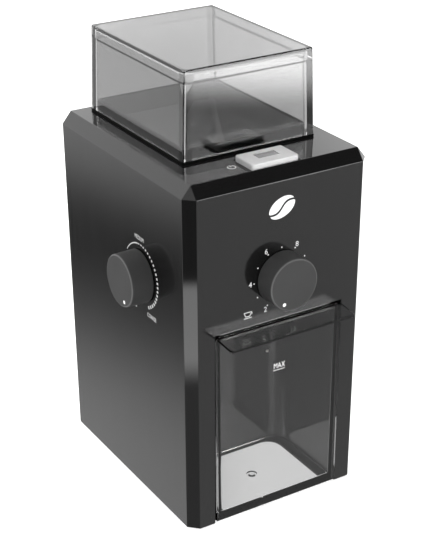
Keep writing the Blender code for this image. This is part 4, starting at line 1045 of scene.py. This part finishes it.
def make_world():
    """A soft studio. Gloss and clear plastic see its lamps and flags; the camera sees plain white.

    x, y and z say which way a ray goes: to the right, to the back and up. A strength of 1 is white."""
    world = bpy.data.worlds.new("studio")
    scene.world = world
    world.use_nodes = True
    graph = Graph(world.node_tree)
    add, times, step, between, blend = graph.add, graph.times, graph.step, graph.between, graph.blend
    x, y, z = graph.parts(graph.node("ShaderNodeTexCoord").outputs["Generated"])
    path = graph.node("ShaderNodeLightPath")
    left = times(x, -1.0)

    # In front: two lamps to the right, one over the other, between a grey floor and a dark ceiling
    lamp_strength = 8.5
    lamps = add(between(z, -0.306, -0.272, -0.08, 0.02), between(z, 0.14, 0.24, 0.44, 0.56))
    lamps = times(lamps, between(x, 0.30, 0.42, 0.60, 0.72))
    front = add(step(z, -0.2, 0.0, 0.80, 0.02), times(lamps, lamp_strength))

    # Front left: a dark wall on a grey floor
    at_left = step(left, 0.35, 0.55)
    front = blend(at_left, front, step(z, -0.52, -0.46, 0.36, 0.02))

    # Behind: a white floor and wall with a dark skirting between them, which rises to the left, and a
    # bright ceiling. The stops are (share of the way up the skirting, strength).
    up_skirting = add(z, times(add(left, -0.40), 0.5))
    low, high, brightest = -0.5665, -0.3165, 1.25
    share = times(add(up_skirting, -low), 1 / (high - low))
    stops = [(0.00, 1.06), (0.12, 1.04), (0.22, 0.90), (0.31, 0.58), (0.40, 0.30), (0.53, 0.11),
             (0.62, 0.05), (0.72, 0.14), (0.78, 0.50), (0.82, 0.85), (0.88, 1.00), (1.00, 1.15)]
    skirting = graph.ramp(share, [(place, strength / brightest) for place, strength in stops])
    overhead = add(step(x, 0.35, 0.50, 1.75, 1.20), step(x, 0.52, 0.58, 0.0, 0.60))
    back = blend(step(z, -0.28, 0.10), times(skirting, brightest), overhead)
    around = blend(step(y, -0.10, 0.25), front, back)

    # In gloss only: a narrow card low down at the front left, a wall to the right that is brightest low
    # down at its back, and up on the front left the lamp that the housing's corner facet shows
    card_strength = step(y, -0.10, 0.25, 3.4, 0.0)
    card = times(times(between(z, -0.515, -0.496, -0.455, -0.447), at_left), card_strength)
    right = step(y, 0.15, 0.35, 0.9, step(z, 0.0, -0.14, 0.3, 2.7))
    lit = blend(step(x, 0.58, 0.68), add(around, card), right)
    facet_lamp = times(step(left, 0.55, 0.66), step(y, -0.15, -0.30))
    lit = add(lit, times(facet_lamp, between(z, 0.38, 0.48, 0.66, 0.76)))

    # Straight through clear plastic: the white backdrop, brighter to the right
    side = add(x, times(y, -0.6))
    through = times(step(side, -0.03, 0.05, 1.0, 1.4), step(z, -0.40, -0.36, 0.67, 1.0))
    through = times(through, step(x, 0.60, 0.68, 1.0, 0.6))
    behind = times(times(step(y, 0.0, 0.2), step(x, -0.75, -0.55)), step(z, 0.0, -0.1))
    seen_through = blend(behind, around, through)

    # What lights matt surfaces: a soft dome, made up for what the smoked lid takes from it
    dome, dome_under_lid, backdrop = step(z, -0.2, 1.0, 0.85, 1.25), 5.0, 1.05
    after_matt = graph.math("GREATER_THAN", path.outputs["Diffuse Depth"], 0.5)
    seen_through = blend(times(after_matt, step(z, 0.0, 0.2)), seen_through, dome_under_lid)
    strength = blend(path.outputs["Is Glossy Ray"], dome, lit)
    strength = blend(path.outputs["Is Transmission Ray"], strength, seen_through)
    strength = blend(path.outputs["Is Camera Ray"], strength, backdrop)
    background = world.node_tree.nodes["Background"]
    background.inputs["Color"].default_value = (1, 1, 1, 1)
    graph.feed(background.inputs["Strength"], strength)


def make_floor():
    bm = bmesh.new()
    bmesh.ops.create_grid(bm, x_segments=1, y_segments=1, size=6)
    floor = add_object("floor", as_mesh("floor", bm))
    material, graph = surface("pale_floor", Roughness=0.9, Emission_Strength=0.55)
    slow = graph.noise(mm(300), detail=1.0)
    graph.shade(Emission_Color=(1, 1, 1, 1), Base_Color=graph.tint(slow, grey(0.93), grey(0.95)))
    floor.data.materials.append(material)
    floor.visible_glossy = False
    floor.visible_transmission = False


def make_light():
    """One wide soft light above and to the left of the camera. The gloss doesn't show it."""
    data = bpy.data.lights.new("softbox", "AREA")
    data.shape = "RECTANGLE"
    data.size, data.size_y = 0.9, 0.7
    data.energy = 9
    lamp = add_object("softbox", data)
    lamp.location = ORIGIN + Vector((-0.75, -0.65, 1.1))
    aim = ORIGIN + CAMERA_TARGET - lamp.location
    lamp.rotation_mode = "QUATERNION"
    lamp.rotation_quaternion = aim.to_track_quat("-Z", "Y")
    lamp.visible_glossy = False
    lamp.visible_transmission = False


def make_camera():
    """The photo's view."""
    azimuth, elevation = math.radians(CAMERA_AZIMUTH), math.radians(CAMERA_ELEVATION)
    back = Vector((math.sin(azimuth) * math.cos(elevation), -math.cos(azimuth) * math.cos(elevation),
                   math.sin(elevation)))
    data = bpy.data.cameras.new("camera")
    data.sensor_width = 36
    data.lens = CAMERA_LENS
    data.clip_start, data.clip_end = 0.05, 20
    camera = add_object("camera", data)
    camera.location = ORIGIN + CAMERA_TARGET + back * CAMERA_DISTANCE
    camera.rotation_mode = "QUATERNION"
    roll = Quaternion((0, 0, 1), math.radians(CAMERA_ROLL))
    camera.rotation_quaternion = (-back).to_track_quat("-Z", "Y") @ roll
    scene.camera = camera


make_housing()
make_gland()
make_bay()
make_drawer()
make_drawer_cover()
make_hopper()
make_lid()
make_button()
make_button_spring()
make_knob("quantity_knob_cap", "quantity_knob", "quantity_control", (0, -1, 0), -122)
make_knob("coarseness_knob_cap", "coarseness_knob", "coarseness_control", (-1, 0, 0), -64)
print_quantity_dial()
print_coarseness_dial()
print_power_mark()
print_bean()
print_max_mark()
finish_cad_nodes()
make_world()
make_floor()
make_light()
make_camera()
scene.view_settings.view_transform = "Standard"
